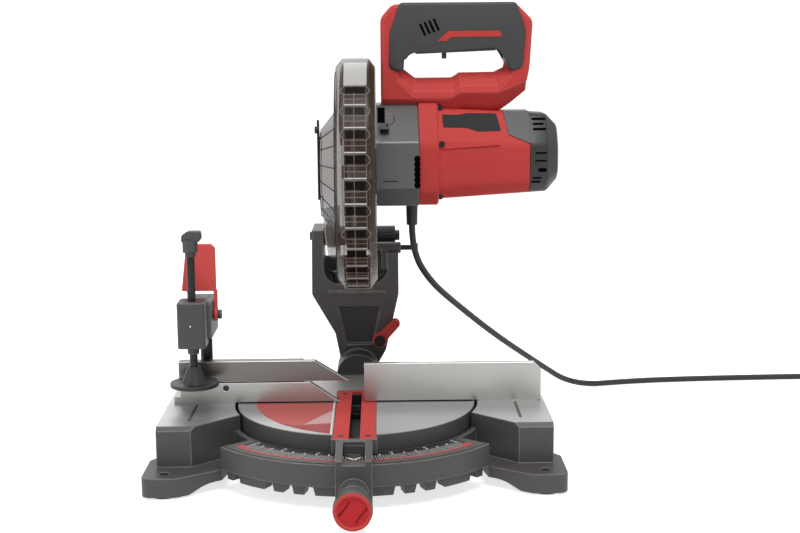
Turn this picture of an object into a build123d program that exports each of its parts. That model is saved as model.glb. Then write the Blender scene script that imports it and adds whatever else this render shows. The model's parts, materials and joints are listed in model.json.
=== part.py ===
from build123d import *
import os
from math import acos, asin, atan2, cos, degrees, hypot, pi, radians, sin, sqrt, tan

# Compound miter saw, in millimetres. X points right, Y back and Z up, as seen by the person sawing.
# The origin is on the bench under the turntable's pivot, which is also the centre of the bolt holes.

os.makedirs("parts", exist_ok=True)

# Clearances
press = 0.02          # radial room of a pressed or threaded fit
running = 0.05        # radial room of a running fit
gap = 0.3             # room between flat faces that pass each other
slack = 0.6           # room between rough castings that pass each other

# Bench base
table_z = 62.0        # table height above the bench
pad_h = 2.0           # rubber pads under the feet
pad_r = 14.0
bush_r = 6.4          # casting round each bench bolt, inside its pad
bolt_x = 186.0        # bench bolts, from the centre
bolt_y = 109.0
bolt_r = 4.5
ear_x = 196.5         # side tables
ear_y = 89.5
ear_front_x = 162.0
ear_notch_x = 121.6
ear_notch_y = 50.7
ear_bottom_z = 10.0
ear_skin = 7.0
ear_wall = 6.0
ear_chamfer = 4.0
groove_x = 166.0      # narrow groove in each side table
groove_w = 2.4
groove_depth = 1.2
groove_back_y = -7.8
groove_front_y = -67.5
grip_w = 80.0         # carrying grip on each side
grip_h = 20.0
grip_out = 3.0
foot_x = 207.0        # bolt-down feet
foot_y = 126.0
foot_front_x = 172.6
foot_neck_x = 131.0
foot_neck_y = 98.0
foot_side_y = 66.0
foot_top_z = 21.4
foot_round = 10.0
arch_x = 174.0        # arch under the front and the back
arch_top_x = 136.0
arch_z = 10.0
tray_wall = 5.8       # round tray under the turntable
tray_bottom_z = 24.0
tray_top_z = 46.0
tray_floor_z = 37.0
tray_floor_t = 7.0
sector_r = 167.0      # raised sector that carries the miter scale
sector_half = 52.0
sector_wall = 5.0
sector_skin = 6.0

# Miter scale and detent plate
scale_t = 0.8
scale_margin = 3.0
detent_t = 10.0
detent_w = 13.0
detent_margin = 4.0
detent_web = 2.0      # plate left above the notches
notch_w = 7.0
notch_flare = 2.0     # each notch widens downwards on both sides
notch_angles = (-45.0, -30.0, -22.5, -15.0, 0.0, 15.0, 22.5, 30.0, 45.0)

# Turntable
table_r = 123.6
table_gap = 2.6
table_t = 6.0
skirt_w = 11.6
hub_r = 22.0
pivot_r = 8.0
pivot_head_r = 11.0
pivot_head_h = 4.7
pivot_nut_r = 13.0
pivot_nut_h = 8.0
trough_x = 12.0
trough_wall = 5.0
trough_z = 46.0
trough_front_y = -120.0
kerf_x = 5.3
kerf_back_y = 40.0
insert_x = 20.6
insert_t = 3.0
insert_front_y = -135.5
insert_bridge = 6.0
insert_sink = 0.2
insert_screw_r = 3.0
insert_screw_len = 12.0
insert_screw_x = 13.0
insert_screw_inset = 12.0

# Front arm, miter lock and pointer
arm_x = 17.3
arm_root_x = 22.0
arm_root_y = -137.0
arm_clear = 1.3
block_back_y = -170.0
block_front_y = -182.0
block_bottom_z = 8.0
block_top_z = 55.0
window_x = 10.5
window_back_y = -139.0
window_front_y = -166.0
cable_groove = 4.5
knob_z = 24.6
boss_front_y = -205.0
boss_root_r = 13.4
boss_r = 14.5
screw_r = 4.0
knob_r = 18.0
knob_len = 25.0
knob_clear = 2.0
knob_cap_r = 17.3
knob_cap_t = 4.0
knob_cap_rim = 2.6
knob_cap_dish = 1.6
plunger_z = 15.5
plunger_r = 2.5
plunger_tab_t = 6.0
plunger_tab_z = 3.5
plunger_back_y = -165.2
plunger_wall = 4.0
tab_wall = 5.0
tab_slot_back = 8.0
bracket_t = 3.0
bracket_h = 10.0
pointer_t = 1.2
pointer_len = 20.0
pointer_half = 7.0

# Bevel joint
bevel_r = 24.0
bevel_out = 10.4      # the joint's face, behind the turntable's rim
bevel_hub_t = 26.0
bevel_bolt_r = 6.0
bevel_head_r = 10.0
bevel_head_h = 7.0

# Fork that carries the head
fork_room = 6.0       # from the joint's face to the fork's front
fork_depth = 60.0
fork_neck_left = 26.0
fork_neck_right = 32.0
fork_left_x = -52.0
fork_right_x = 47.0
cheek_t = 14.0
right_cheek_t = 13.0
shoulder_z = 150.0
throat_z = 162.0
throat_round = 18.0
throat_web_t = 6.0
throat_web_h = 24.0
left_top_z = 224.0
right_top_z = 197.4
neck_recess = 6.0
neck_recess_top = 26.0
neck_cut = 18.0
throat_floor = 30.0
neck_left_rise = 28.0
neck_right_rise = 38.0
neck_right_root = 8.0
neck_right_out = 7.0
boss_sink = 2.0
lock_boss_out = 3.0
lock_rib = 20.0
chop_in = 40.0        # chop axis, behind the fork's front
chop_z = 212.0
shaft_r = 7.0
shaft_head_r = 5.0
shaft_head_h = 4.0
lug_r = 9.0
lug_t = 16.4
lug_web = 6.0
cover_wall = 2.2
cover_end = 12.5
cover_nut_r = 6.0
cover_nut_h = 5.0
cover_flutes = 18
flute_r = 0.9
stop_bolt_x = -25.0
stop_bolt_in = 18.0
stop_bolt_r = 3.0
stop_bolt_len = 22.0
stop_hole_depth = 14.0

# Return spring of the head
spring_wire_r = 1.2
spring_pitch = 3.2
spring_turns = 4
spring_nose_r = 11.4

# Bevel lever and head lock pin
lever_x = 25.0
lever_z = 98.0
lever_hub_r = 8.0
lever_t = 12.0
lever_tip_x = 43.0
lever_tip_z = 117.0
lever_tip_r = 5.0
lever_bolt_r = 4.0
lock_in = 10.0
lock_z = 202.0
lock_r = 3.0
lock_knob_r = 4.0
lock_knob_len = 5.4
lock_flange_r = 4.8
lock_flange_t = 2.0
lock_boss_r = 6.5
lock_hole_room = 0.5
lock_depth = 12.0

# Blade, arbor and drive
arbor_y = 18.0
arbor_z = 302.0
blade_r = 105.0
blade_t = 1.8
blade_bore_r = 15.0
blade_teeth = 40
tooth_depth = 6.5
spindle_r = 8.0
flange_r = 22.0
flange_t = 5.0
arbor_bolt_r = 4.0
arbor_head_r = 7.5
arbor_head_h = 6.0
arbor_bolt_len = 14.0
gear_module = 1.25
gear_teeth = 42
pinion_teeth = 11
pinion_shift = 0.4
gear_t = 10.0
gear_backlash = 0.16
drive_lean = 32.7
rotor_r = 5.0
bearing_t = 7.0
spindle_bearing_r = 16.0
rotor_bearing_r = 11.0

# Guards
guard_r = 121.0
guard_wall = 2.5
guard_left_x = -16.2
guard_right_x = 26.3
guard_bevel_x = 7.0
guard_bevel_r = 9.0
guard_start = 106.0
guard_span = 174.0
bulge_x = -33.0
bulge_root_r = 68.0
bulge_face_r = 46.0
bulge_hole_r = 26.0
guard_hub_r = 31.0
guard_boss_r = 24.0
upper_r = 114.5
upper_wall = 2.5
upper_left_x = -12.0
upper_right_x = 22.0
upper_bevel_x = 5.0
upper_bevel_r = 7.5
upper_window_r = 62.0
upper_start = -44.0
upper_span = 194.0
lift_rod_r = 1.2
lift_rod_x = -35.0
lift_rod_y = -6.0
lift_rod_top_z = 357.0
lift_rod_bottom_z = 276.0
lift_knob_z = 347.0
lift_knob_r = 3.6
lift_knob_out = 3.4

# Head arm
head_arm_half = 20.0
head_boss_r = 17.0
head_arm_left_x = -12.0
head_arm_right_x = 13.5

# Gear housing and motor
housing_left_x = 27.2
housing_right_x = 67.0
housing_front_y = -16.0
housing_back_y = 98.0
housing_top_z = 371.0
housing_bottom_z = 267.5
housing_wall = 5.0
gear_x = 40.0
gear_room = 2.6
wheel_wall_x = 52.0
wheel_wall_t = 7.0
ring_right_x = 87.2
ring_half = 52.4
body_left_half = 46.5
body_right_half = 40.0
body_right_x = 199.0
cap_joint_x = 180.0
cap_tongue_x = 160.0
cap_tongue_z = 334.0
cap_right_x = 212.0
cap_end_half = 27.0
cap_wall = 6.0
motor_bore_r = 33.5
stator_r = 33.4
stator_bore_r = 22.0
stator_x = 92.0
stator_t = 50.0
armature_r = 21.0
commutator_r = 12.0
commutator_x = 150.0
commutator_t = 18.0
brush_w = 8.0
fan_r = 31.0
fan_x = 61.0
fan_t = 9.0
fan_blades = 12
fan_blade_t = 2.0
rear_bearing_x = 186.0
screw_head_r = 2.7
screw_head_h = 3.0
screw_shank_r = 1.8
screw_len = 14.0

# Spindle lock button
lock_button_x = 37.0
lock_button_y = -4.0
lock_button_z = 356.0
lock_button_r = 5.0
lock_button_len = 24.0
lock_button_out = 8.0

# Handle
handle_y = 39.0
handle_half_t = 18.0
handle_skin = 2.4
handle_left_x = 28.7
handle_right_x = 185.0
handle_top_z = 472.0
handle_top_skin = 1.5
handle_wall = 4.0
trigger_pin_r = 2.5
trigger_side_room = 1.0
tongue_half_t = 8.0
tongue_half_h = 4.5
tongue_front = 11.0
tongue_back = 5.0
tongue_swing = 1.0    # room round the tongue for the trigger's swing
finger_half_t = 5.0
finger_room = 2.0
switch_half_t = 8.0
switch_left = 6.0
switch_right = 14.0
switch_room = 3.0
lock_off_w = 4.8
lock_off_t = 7.4
lock_off_travel = 3.0

# Side view of the handle, as parts of its width and height
handle_frame = ((0, 0), (0, 0.8592), (0.0787, 1), (0.8913, 1), (1, 0.829), (0.9808, 0.3461), (0.9488, 0.1047),
                (0.7761, 0))
hole_frame = ((0.1529, 0.3361), (0.1529, 0.4165), (0.1875, 0.6529), (0.8081, 0.6529), (0.8221, 0.4115),
              (0.8125, 0.3481), (0.7505, 0.3019), (0.5202, 0.2978), (0.469, 0.2475), (0.2278, 0.2465))
grip_left_frame = ((0.0589, 0.7163), (0.0518, 0.3592), (0.1171, 0.3029))
grip_right_frame = ((0.8509, 0.3019), (0.9367, 0.3552), (0.9546, 0.7364))
grip_top_frame = (0.1254, 0.8887)
trigger_frame = ((0.2067, 0.5171), (0.2386, 0.492), (0.7505, 0.5222), (0.7889, 0.5473), (0.7889, 0.6379),
                 (0.7505, 0.6338), (0.2386, 0.5976), (0.2067, 0.5775))
trigger_pin_frame = (0.8464, 0.5876)
finger_frame = (0.4946, 0.5585)
finger_top_frame = 0.6982
cavity_frame = (0.2642, 0.7633)
lock_off_frame = 0.4063
lock_off_z_frame = (0.4417, 0.5674)

# Fences
fence_front_y = -2.8
fence_t = 7.0
fence_gap = 0.5
fence_right_x = 8.5
fence_right_end_x = 193.6
fence_right_top_z = 103.2
fence_end_chamfer = 8.0
fence_foot_lap = 4.0
fence_foot_h = 8.0
fence_foot_back_y = 36.0
fence_left_end_x = -184.0
fence_left_bottom_x = -17.0
fence_left_top_x = -48.0
fence_left_top_z = 84.0
slide_bottom_z = 85.2
slide_top_z = 107.0
slide_end_x = -185.0
slide_bottom_x = -7.4
slide_top_x = -42.5
slide_plate_t = 5.0
slide_plate_z = 72.0
slide_plate_x = -55.0
slide_travel = 70.0
fence_screw_x = -136.0
fence_screw_z = 78.4
fence_screw_r = 3.0
fence_knob_r = 7.5
fence_knob_t = 14.0
fence_bolt_inset = 18.5
fence_bolt_y = 30.0
fence_bolt_r = 3.0
fence_bolt_head_r = 5.2
fence_bolt_head_h = 4.0
fence_bolt_len = 24.0
fence_boss_r = 8.0
fence_gusset_t = 6.0
fence_gusset_in = 6.0

# Work clamp
post_x = 158.5
post_y = 25.0
post_r = 6.4
post_boss_r = 11.0
post_bottom_z = 30.0
clamp_block_left_x = -178.5
clamp_block_right_x = -150.5
clamp_block_front_y = -45.0
clamp_block_back_y = -17.0
clamp_block_bottom_z = 130.0
clamp_block_top_z = 177.5
clamp_arm_left_x = -170.0
clamp_arm_right_x = -147.0
clamp_arm_back_y = 38.0
clamp_arm_bottom_z = 135.0
clamp_arm_top_z = 172.0
clamp_round = 3.0
clamp_rod_x = -164.5
clamp_rod_y = -31.0
clamp_rod_r = 4.0
clamp_rod_bottom_z = 94.0
clamp_foot_r = 24.7
clamp_foot_t = 4.0
clamp_cone_r = 13.0
clamp_cone_top_r = 6.0
clamp_cone_h = 17.0
clamp_knob_bottom_z = 237.0
clamp_knob_h = 12.0
clamp_knob_r = 9.5
clamp_neck_r = 7.5
clamp_neck_bottom_z = 227.5
clamp_nut_r = 6.0
clamp_nut_bottom_z = 220.0
clamp_collar_r = 6.0
clamp_collar_bottom_z = 122.5
clamp_knob_grips = 10
clamp_lever_y = 5.0
clamp_lever_z = 156.0
clamp_lever_t = 7.0
clamp_lever_bottom_z = 181.0
clamp_lever_top_z = 230.0
clamp_lever_flare = 5.5
clamp_lever_waist = 1.0
clamp_lever_corner = 4.0
clamp_lever_strip = 3.4
clamp_lever_gap = 0.6
clamp_lever_hub_r = 7.0
clamp_pin_r = 3.0
clamp_pin_head_r = 5.0
clamp_pin_head_h = 4.0

# Mains lead
cord_r = 3.5
relief_x = 60.5
relief_root_r = 6.3
relief_tip_r = 5.7
relief_len = 25.0
coil_x = 642.0
coil_lead = 57.0      # straight run from the lead's end to the first turn
coil_entry_y = 312.0
coil_outer_r = 46.0
coil_pitch = 7.9
coil_layer = 7.8
coil_half_turns = 5
coil_tail = 24.5
plug_r = 17.0
plug_half_h = 11.0
plug_len = 28.0
plug_neck_r = 6.0
plug_neck_len = 22.0
plug_pin_r = 2.4
plug_pin_len = 17.0
plug_lip = 0.4
plug_pin_spacing = 19.0

# Places that follow from the sizes above
pocket_r = table_r + table_gap
tray_r = pocket_r + tray_wall
bevel_front_y = table_r - skirt_w
bevel_face_y = table_r + bevel_out
fork_front_y = bevel_face_y + fork_room
fork_back_y = fork_front_y + fork_depth
chop_y = fork_front_y + chop_in
stop_bolt_y = fork_front_y + stop_bolt_in
lock_y = fork_front_y + lock_in
fence_foot_x = tray_r - fence_foot_lap
fence_bolt_x = (tray_r + fence_boss_r, ear_x - fence_bolt_inset)
foot_plate_end_x = ear_x - ear_wall
table_bottom_z = tray_floor_z + gap
arm_bottom_z = tray_top_z + arm_clear
knob_back_y = boss_front_y - knob_clear
knob_front_y = knob_back_y - knob_len
insert_back_y = kerf_back_y + insert_bridge
drive_distance = gear_module * (gear_teeth + pinion_teeth) / 2
motor_y = arbor_y + drive_distance * cos(radians(drive_lean))
motor_z = arbor_z + drive_distance * sin(radians(drive_lean))
cheek_inner_x = fork_left_x + cheek_t
lug_left_x = head_arm_right_x + 2 * slack + running
lug_right_x = lug_left_x + lug_t
head_boss_left_x = cheek_inner_x + slack
spring_r = spring_nose_r + gap + spring_wire_r
head_boss_right_x = lug_left_x - slack
right_cheek_x = fork_right_x - right_cheek_t
hub_face_y = bevel_face_y + gap
hub_back_y = hub_face_y + bevel_hub_t
fence_back_y = fence_front_y + fence_t
fence_bottom_z = table_z + fence_gap
foot_plate_z = table_z + fence_foot_h
slide_face_y = fence_back_y + gap
slide_back_y = slide_face_y + slide_plate_t
post_top_z = clamp_arm_top_z
relief_z = housing_bottom_z - relief_len
handle_front_y = handle_y - handle_half_t
handle_back_y = handle_y + handle_half_t
handle_bottom_z = motor_z + ring_half + gap
handle_w = handle_right_x - handle_left_x
handle_h = handle_top_z - handle_bottom_z
stop_angle = atan2(chop_z - arbor_z, chop_y - arbor_y)
stop_hole_z = throat_z - stop_hole_depth

arbor_axis = Axis((0, arbor_y, arbor_z), (1, 0, 0))


def rod_x(y, z, radius, x0, x1, bore=0.0, mode=Mode.ADD):
    """Round bar, or ring with a bore, along X."""
    with BuildSketch(Plane.YZ.offset(x0)) as face:
        with Locations((y, z)):
            Circle(radius)
            if bore:
                Circle(bore, mode=Mode.SUBTRACT)
    extrude(face.sketch, amount=x1 - x0, mode=mode)


def rod_y(x, z, radius, y0, y1, bore=0.0, mode=Mode.ADD):
    """Round bar, or ring with a bore, along Y."""
    with BuildSketch(Plane.XZ.offset(-y1)) as face:
        with Locations((x, z)):
            Circle(radius)
            if bore:
                Circle(bore, mode=Mode.SUBTRACT)
    extrude(face.sketch, amount=y1 - y0, mode=mode)


def rod_z(x, y, radius, z0, z1, bore=0.0, mode=Mode.ADD):
    """Round bar, or ring with a bore, along Z."""
    with BuildSketch(Plane.XY.offset(z0)) as face:
        with Locations((x, y)):
            Circle(radius)
            if bore:
                Circle(bore, mode=Mode.SUBTRACT)
    extrude(face.sketch, amount=z1 - z0, mode=mode)


def slab(plane, points, depth, mode=Mode.ADD):
    """Flat plate with the outline of the points, along the plane's normal."""
    with BuildSketch(plane) as face:
        with BuildLine():
            Polyline(*points, close=True)
        make_face()
    extrude(face.sketch, amount=depth, mode=mode)


def slab_x(points, x0, x1, mode=Mode.ADD):
    """Plate along X from points in Y and Z."""
    slab(Plane.YZ.offset(x0), points, x1 - x0, mode)


def slab_y(points, y0, y1, mode=Mode.ADD):
    """Plate along Y from points in X and Z."""
    slab(Plane.XZ.offset(-y1), points, y1 - y0, mode)


def slab_z(points, z0, z1, mode=Mode.ADD):
    """Plate along Z from points in X and Y."""
    slab(Plane.XY.offset(z0), points, z1 - z0, mode)


def block(x0, x1, y0, y1, z0, z1, mode=Mode.ADD):
    """Box between two corners."""
    with Locations((x0, y0, z0)):
        Box(x1 - x0, y1 - y0, z1 - z0, align=(Align.MIN, Align.MIN, Align.MIN), mode=mode)


def front_sector(r0, r1, half, z0, z1, mode=Mode.ADD):
    """Ring sector about the front of the turntable's axis."""
    with BuildSketch(Plane.XY.offset(z0)) as face:
        with BuildLine():
            arc = CenterArc((0, 0), r1, -90 - half, 2 * half)
            Line(arc @ 1, (0, 0))
            Line((0, 0), arc @ 0)
        make_face()
        Circle(r0, mode=Mode.SUBTRACT)
    extrude(face.sketch, amount=z1 - z0, mode=mode)


def arbor_plane(angle):
    """Plane through the arbor: its x runs along the arbor and its y outwards at the angle from the back."""
    turn = radians(angle)
    return Plane(origin=(0, arbor_y, arbor_z), x_dir=(1, 0, 0), z_dir=(0, -sin(turn), cos(turn)))


def swept_section(points, start, span):
    """Section in arbor distance turned about the arbor."""
    with BuildSketch(arbor_plane(start)) as face:
        with BuildLine():
            Polyline(*points, close=True)
        make_face()
    revolve(face.sketch, axis=arbor_axis, revolution_arc=span)


def motor_section(x, half):
    """Faceted section of the motor at x, with its flats at half the height from the axis."""
    outline = ((-0.45, 1.0), (0.45, 1.0), (1.0, 0.22), (1.0, -0.45), (0.5, -1.0), (-0.5, -1.0), (-1.0, -0.45),
               (-1.0, 0.22))
    with BuildSketch(Plane.YZ.offset(x)) as face:
        with BuildLine():
            Polyline(*[(motor_y + half * u, motor_z + half * v) for u, v in outline], close=True)
        make_face()
        fillet(face.vertices(), half * 0.12)
    return face.sketch


def gear_outline(teeth, shift, phase):
    """Involute outline with backlash taken from its flanks; a tooth points along the phase angle."""
    pressure = radians(20)
    pitch_r = gear_module * teeth / 2
    base_r = pitch_r * cos(pressure)
    tip_r = pitch_r + gear_module * (0.85 + shift)
    root_r = pitch_r - gear_module * (1.25 - shift) + 0.05 * gear_module
    half_angle = pi / (2 * teeth) + 2 * shift * tan(pressure) / teeth - gear_backlash / (2 * pitch_r)
    base_half = half_angle + tan(pressure) - pressure
    low_r = max(base_r, root_r)
    flank = []
    for step in range(4):
        radius = low_r + (tip_r - low_r) * step / 3
        roll = acos(min(1.0, base_r / radius))
        flank.append((radius, base_half - (tan(roll) - roll)))
    points = []
    for tooth in range(teeth):
        middle = phase + 2 * pi * tooth / teeth
        sides = [(root_r, -flank[0][1])] if root_r < low_r else []
        sides += [(radius, -half) for radius, half in flank]
        sides += [(radius, half) for radius, half in reversed(flank)]
        sides += [(root_r, flank[0][1])] if root_r < low_r else []
        points += [(radius * cos(middle + half), radius * sin(middle + half)) for radius, half in sides]
    return points


def tangent_arcs(start, start_way, end, end_way):
    """Two arcs that leave one point and reach the next along the given directions."""
    across = end - start
    both = start_way + end_way
    turn = 2 * (1 - start_way.dot(end_way))
    reach = across.dot(both)
    length = (sqrt(reach * reach + turn * across.dot(across)) - reach) / turn
    middle = (start + start_way * length + end - end_way * length) / 2
    first = TangentArc(start, middle, tangent=start_way)
    TangentArc(middle, end, tangent=first % 1)


def least_gap(wire, radius, apart):
    """Least room between stretches of a round wire that lie further apart along it than a length."""
    count = int(wire.length / 2)
    points = [wire.position_at(index / count) for index in range(count + 1)]
    skip = int(apart / wire.length * count)
    spans = [(points[i] - points[j]).length for i in range(count) for j in range(i + skip, count + 1)]
    return min(spans) - 2 * radius


# Base casting: round tray, scale sector, two side tables and four feet
with BuildPart() as base_casting:
    slab_z(
        [
            (ear_notch_x - ear_wall, ear_notch_y - ear_wall),
            (ear_notch_x, ear_notch_y),
            (ear_front_x, ear_y),
            (ear_x, ear_y),
            (ear_x, -ear_y),
            (ear_front_x, -ear_y),
            (ear_notch_x, -ear_notch_y),
            (ear_notch_x - ear_wall, -ear_notch_y + ear_wall),
        ],
        ear_bottom_z,
        table_z,
    )
    top_front = base_casting.edges().filter_by(Axis.X).group_by(Axis.Y)[0].sort_by(Axis.Z)[-1]
    chamfer(top_front, ear_chamfer)
    with BuildSketch(Plane.YZ.offset(ear_x)) as grip_face:
        with Locations((0, (ear_bottom_z + table_z) / 2)):
            RectangleRounded(grip_w, grip_h, grip_h * 0.4)
    extrude(grip_face.sketch, amount=grip_out, taper=20)
    for side in (-1, 1):
        with BuildSketch(Plane.XY.offset(pad_h)) as foot_face:
            with BuildLine():
                Polyline(
                    (foot_x, side * foot_y),
                    (foot_front_x, side * foot_y),
                    (foot_neck_x, side * foot_neck_y),
                    (ear_notch_x, side * ear_notch_y),
                    (ear_x, side * ear_notch_y),
                    (foot_x, side * foot_side_y),
                    close=True,
                )
            make_face()
            corners = foot_face.vertices().group_by(Axis.Y)[0 if side < 0 else -1]
            fillet(corners, foot_round)
        extrude(foot_face.sketch, amount=foot_top_z - pad_h)
    arch_mid_x = (arch_x + arch_top_x) / 2
    with BuildSketch(Plane.XZ.offset(-foot_y)) as arch_face:
        with BuildLine():
            Bezier((arch_x, 0), (arch_mid_x, 0), (arch_mid_x, arch_z), (arch_top_x, arch_z))
            Polyline((arch_top_x, arch_z), (0, arch_z), (0, 0), (arch_x, 0))
        make_face()
    extrude(arch_face.sketch, amount=2 * foot_y, mode=Mode.SUBTRACT)
    wall_shift = ear_wall * 0.7
    slab_z(
        [
            (tray_r + ear_wall, -ear_notch_y - wall_shift),
            (ear_front_x + wall_shift, -ear_y + ear_wall),
            (ear_x - ear_wall, -ear_y + ear_wall),
            (ear_x - ear_wall, ear_y - ear_wall),
            (ear_front_x + wall_shift, ear_y - ear_wall),
            (tray_r + ear_wall, ear_notch_y + wall_shift),
        ],
        0,
        table_z - ear_skin,
        Mode.SUBTRACT,
    )
    rod_z(post_x, post_y, post_boss_r, post_bottom_z, table_z)
    for bolt in fence_bolt_x:
        rod_z(bolt, fence_bolt_y, fence_boss_r, table_z - fence_bolt_len, table_z)
        rod_z(bolt, fence_bolt_y, fence_bolt_r + press, table_z - fence_bolt_len, table_z, mode=Mode.SUBTRACT)
    rod_z(post_x, post_y, post_r + running, 0, table_z, mode=Mode.SUBTRACT)
    block(
        groove_x - groove_w / 2, groove_x + groove_w / 2, groove_front_y, groove_back_y,
        table_z - groove_depth, table_z, Mode.SUBTRACT,
    )
    for side in (-1, 1):
        rod_z(bolt_x, side * bolt_y, bush_r, 0, foot_top_z)
        rod_z(bolt_x, side * bolt_y, bolt_r, 0, foot_top_z, mode=Mode.SUBTRACT)
    mirror(about=Plane.YZ)
    rod_z(0, 0, tray_r, tray_bottom_z, tray_top_z)
    front_sector(hub_r, sector_r, sector_half, tray_bottom_z, tray_top_z)
    front_sector(
        tray_r, sector_r - sector_wall, sector_half - degrees(sector_wall / sector_r), tray_bottom_z,
        tray_top_z - sector_skin, Mode.SUBTRACT,
    )
    rod_z(0, 0, pocket_r, tray_floor_z, table_z, mode=Mode.SUBTRACT)
    rod_z(0, 0, pocket_r - tray_wall, 0, tray_floor_z - tray_floor_t, mode=Mode.SUBTRACT)
    rod_z(0, 0, pivot_r + press, 0, table_z, mode=Mode.SUBTRACT)
base_casting.part.label = "base_casting"
export_step(base_casting.part, "parts/base_casting.step")

# Rubber pads round the bench bolts
with BuildPart() as rubber_feet:
    for side_x in (-1, 1):
        for side_y in (-1, 1):
            rod_z(side_x * bolt_x, side_y * bolt_y, pad_r, 0, pad_h, bore=bush_r + running)
rubber_feet.part.label = "rubber_feet"
export_step(rubber_feet.part, "parts/rubber_feet.step")

# Pivot bolt of the turntable, held in the tray's floor
with BuildPart() as pivot_bolt:
    tray_under_z = tray_floor_z - tray_floor_t
    rod_z(0, 0, pivot_r, tray_under_z - pivot_nut_h, trough_z + gap)
    rod_z(0, 0, pivot_head_r, trough_z + gap, trough_z + gap + pivot_head_h)
    with BuildSketch(Plane.XY.offset(tray_under_z - pivot_nut_h)) as nut_face:
        RegularPolygon(pivot_nut_r, 6)
    extrude(nut_face.sketch, amount=pivot_nut_h)
    with BuildSketch(Plane.XY.offset(trough_z + gap + pivot_head_h)) as socket_face:
        RegularPolygon(pivot_head_r * 0.45, 6)
    extrude(socket_face.sketch, amount=-pivot_head_h * 0.6, mode=Mode.SUBTRACT)
pivot_bolt.part.label = "pivot_bolt"
export_step(pivot_bolt.part, "parts/pivot_bolt.step")

# Curved scale plate on the sector
with BuildPart() as miter_scale:
    front_sector(
        pocket_r + scale_margin, sector_r - scale_margin, sector_half - 1, tray_top_z, tray_top_z + scale_t,
    )
miter_scale.part.label = "miter_scale"
export_step(miter_scale.part, "parts/miter_scale.step")

# Notched plate under the sector
with BuildPart() as detent_plate:
    plate_r = sector_r - detent_margin
    front_sector(plate_r - detent_w, plate_r, sector_half - 2, tray_bottom_z - detent_t, tray_bottom_z)
    for angle in notch_angles:
        turn = radians(angle - 90)
        notch_plane = Plane(origin=(plate_r * cos(turn), plate_r * sin(turn), tray_bottom_z),
                            x_dir=(-sin(turn), cos(turn), 0), z_dir=(cos(turn), sin(turn), 0))
        slab(
            notch_plane,
            [
                (-notch_w / 2, -detent_web),
                (notch_w / 2, -detent_web),
                (notch_w / 2 + notch_flare, -detent_t),
                (-notch_w / 2 - notch_flare, -detent_t),
            ],
            -detent_w - slack,
            Mode.SUBTRACT,
        )
detent_plate.part.label = "detent_plate"
export_step(detent_plate.part, "parts/detent_plate.step")

# Right fence, with the foot that bolts to the side table
with BuildPart() as fence_right:
    slab_y(
        [
            (fence_right_x, fence_bottom_z),
            (fence_right_end_x, fence_bottom_z),
            (fence_right_end_x, fence_right_top_z - fence_end_chamfer),
            (fence_right_end_x - fence_end_chamfer, fence_right_top_z),
            (fence_right_x, fence_right_top_z),
        ],
        fence_front_y,
        fence_back_y,
    )
    block(fence_foot_x, foot_plate_end_x, fence_front_y, fence_foot_back_y, table_z, foot_plate_z)
    slab_x(
        [
            (fence_back_y, foot_plate_z),
            (fence_foot_back_y - fence_gusset_in, foot_plate_z),
            (fence_back_y, fence_right_top_z - fence_end_chamfer),
        ],
        foot_plate_end_x - fence_gusset_t,
        foot_plate_end_x,
    )
    block(fence_right_x + fence_t, fence_foot_x + fence_t, fence_back_y, fence_back_y + fence_t,
          fence_bottom_z, foot_plate_z)
    for bolt in fence_bolt_x:
        rod_z(bolt, fence_bolt_y, fence_bolt_r + press, table_z, foot_plate_z, mode=Mode.SUBTRACT)
    rod_z(post_x, post_y, post_r + 1, table_z, foot_plate_z, mode=Mode.SUBTRACT)
fence_right.part.label = "fence_right"
export_step(fence_right.part, "parts/fence_right.step")

# Left lower fence
with BuildPart() as fence_left_fixed:
    slab_y(
        [
            (fence_left_end_x, fence_bottom_z),
            (fence_left_bottom_x, fence_bottom_z),
            (fence_left_top_x, fence_left_top_z),
            (fence_left_end_x, fence_left_top_z),
        ],
        fence_front_y,
        fence_back_y,
    )
    block(-foot_plate_end_x, -fence_foot_x, fence_front_y, fence_foot_back_y, table_z, foot_plate_z)
    block(-fence_foot_x - fence_t, fence_left_top_x, fence_back_y, fence_back_y + fence_t,
          fence_bottom_z, foot_plate_z)
    for bolt in fence_bolt_x:
        rod_z(-bolt, fence_bolt_y, fence_bolt_r + press, table_z, foot_plate_z, mode=Mode.SUBTRACT)
    rod_z(-post_x, post_y, post_r + 1, table_z, foot_plate_z, mode=Mode.SUBTRACT)
    rod_y(fence_screw_x, fence_screw_z, fence_screw_r + running, fence_front_y, fence_back_y,
          mode=Mode.SUBTRACT)
fence_left_fixed.part.label = "fence_left_fixed"
export_step(fence_left_fixed.part, "parts/fence_left_fixed.step")

# Bolts of both fences
with BuildPart() as fence_bolts:
    for side in (-1, 1):
        for bolt in fence_bolt_x:
            rod_z(side * bolt, fence_bolt_y, fence_bolt_r, table_z - fence_bolt_len + 1, foot_plate_z)
            with BuildSketch(Plane.XY.offset(foot_plate_z)) as head_face:
                with Locations((side * bolt, fence_bolt_y)):
                    RegularPolygon(fence_bolt_head_r, 6)
            extrude(head_face.sketch, amount=fence_bolt_head_h)
fence_bolts.part.label = "fence_bolts"
export_step(fence_bolts.part, "parts/fence_bolts.step")

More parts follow.
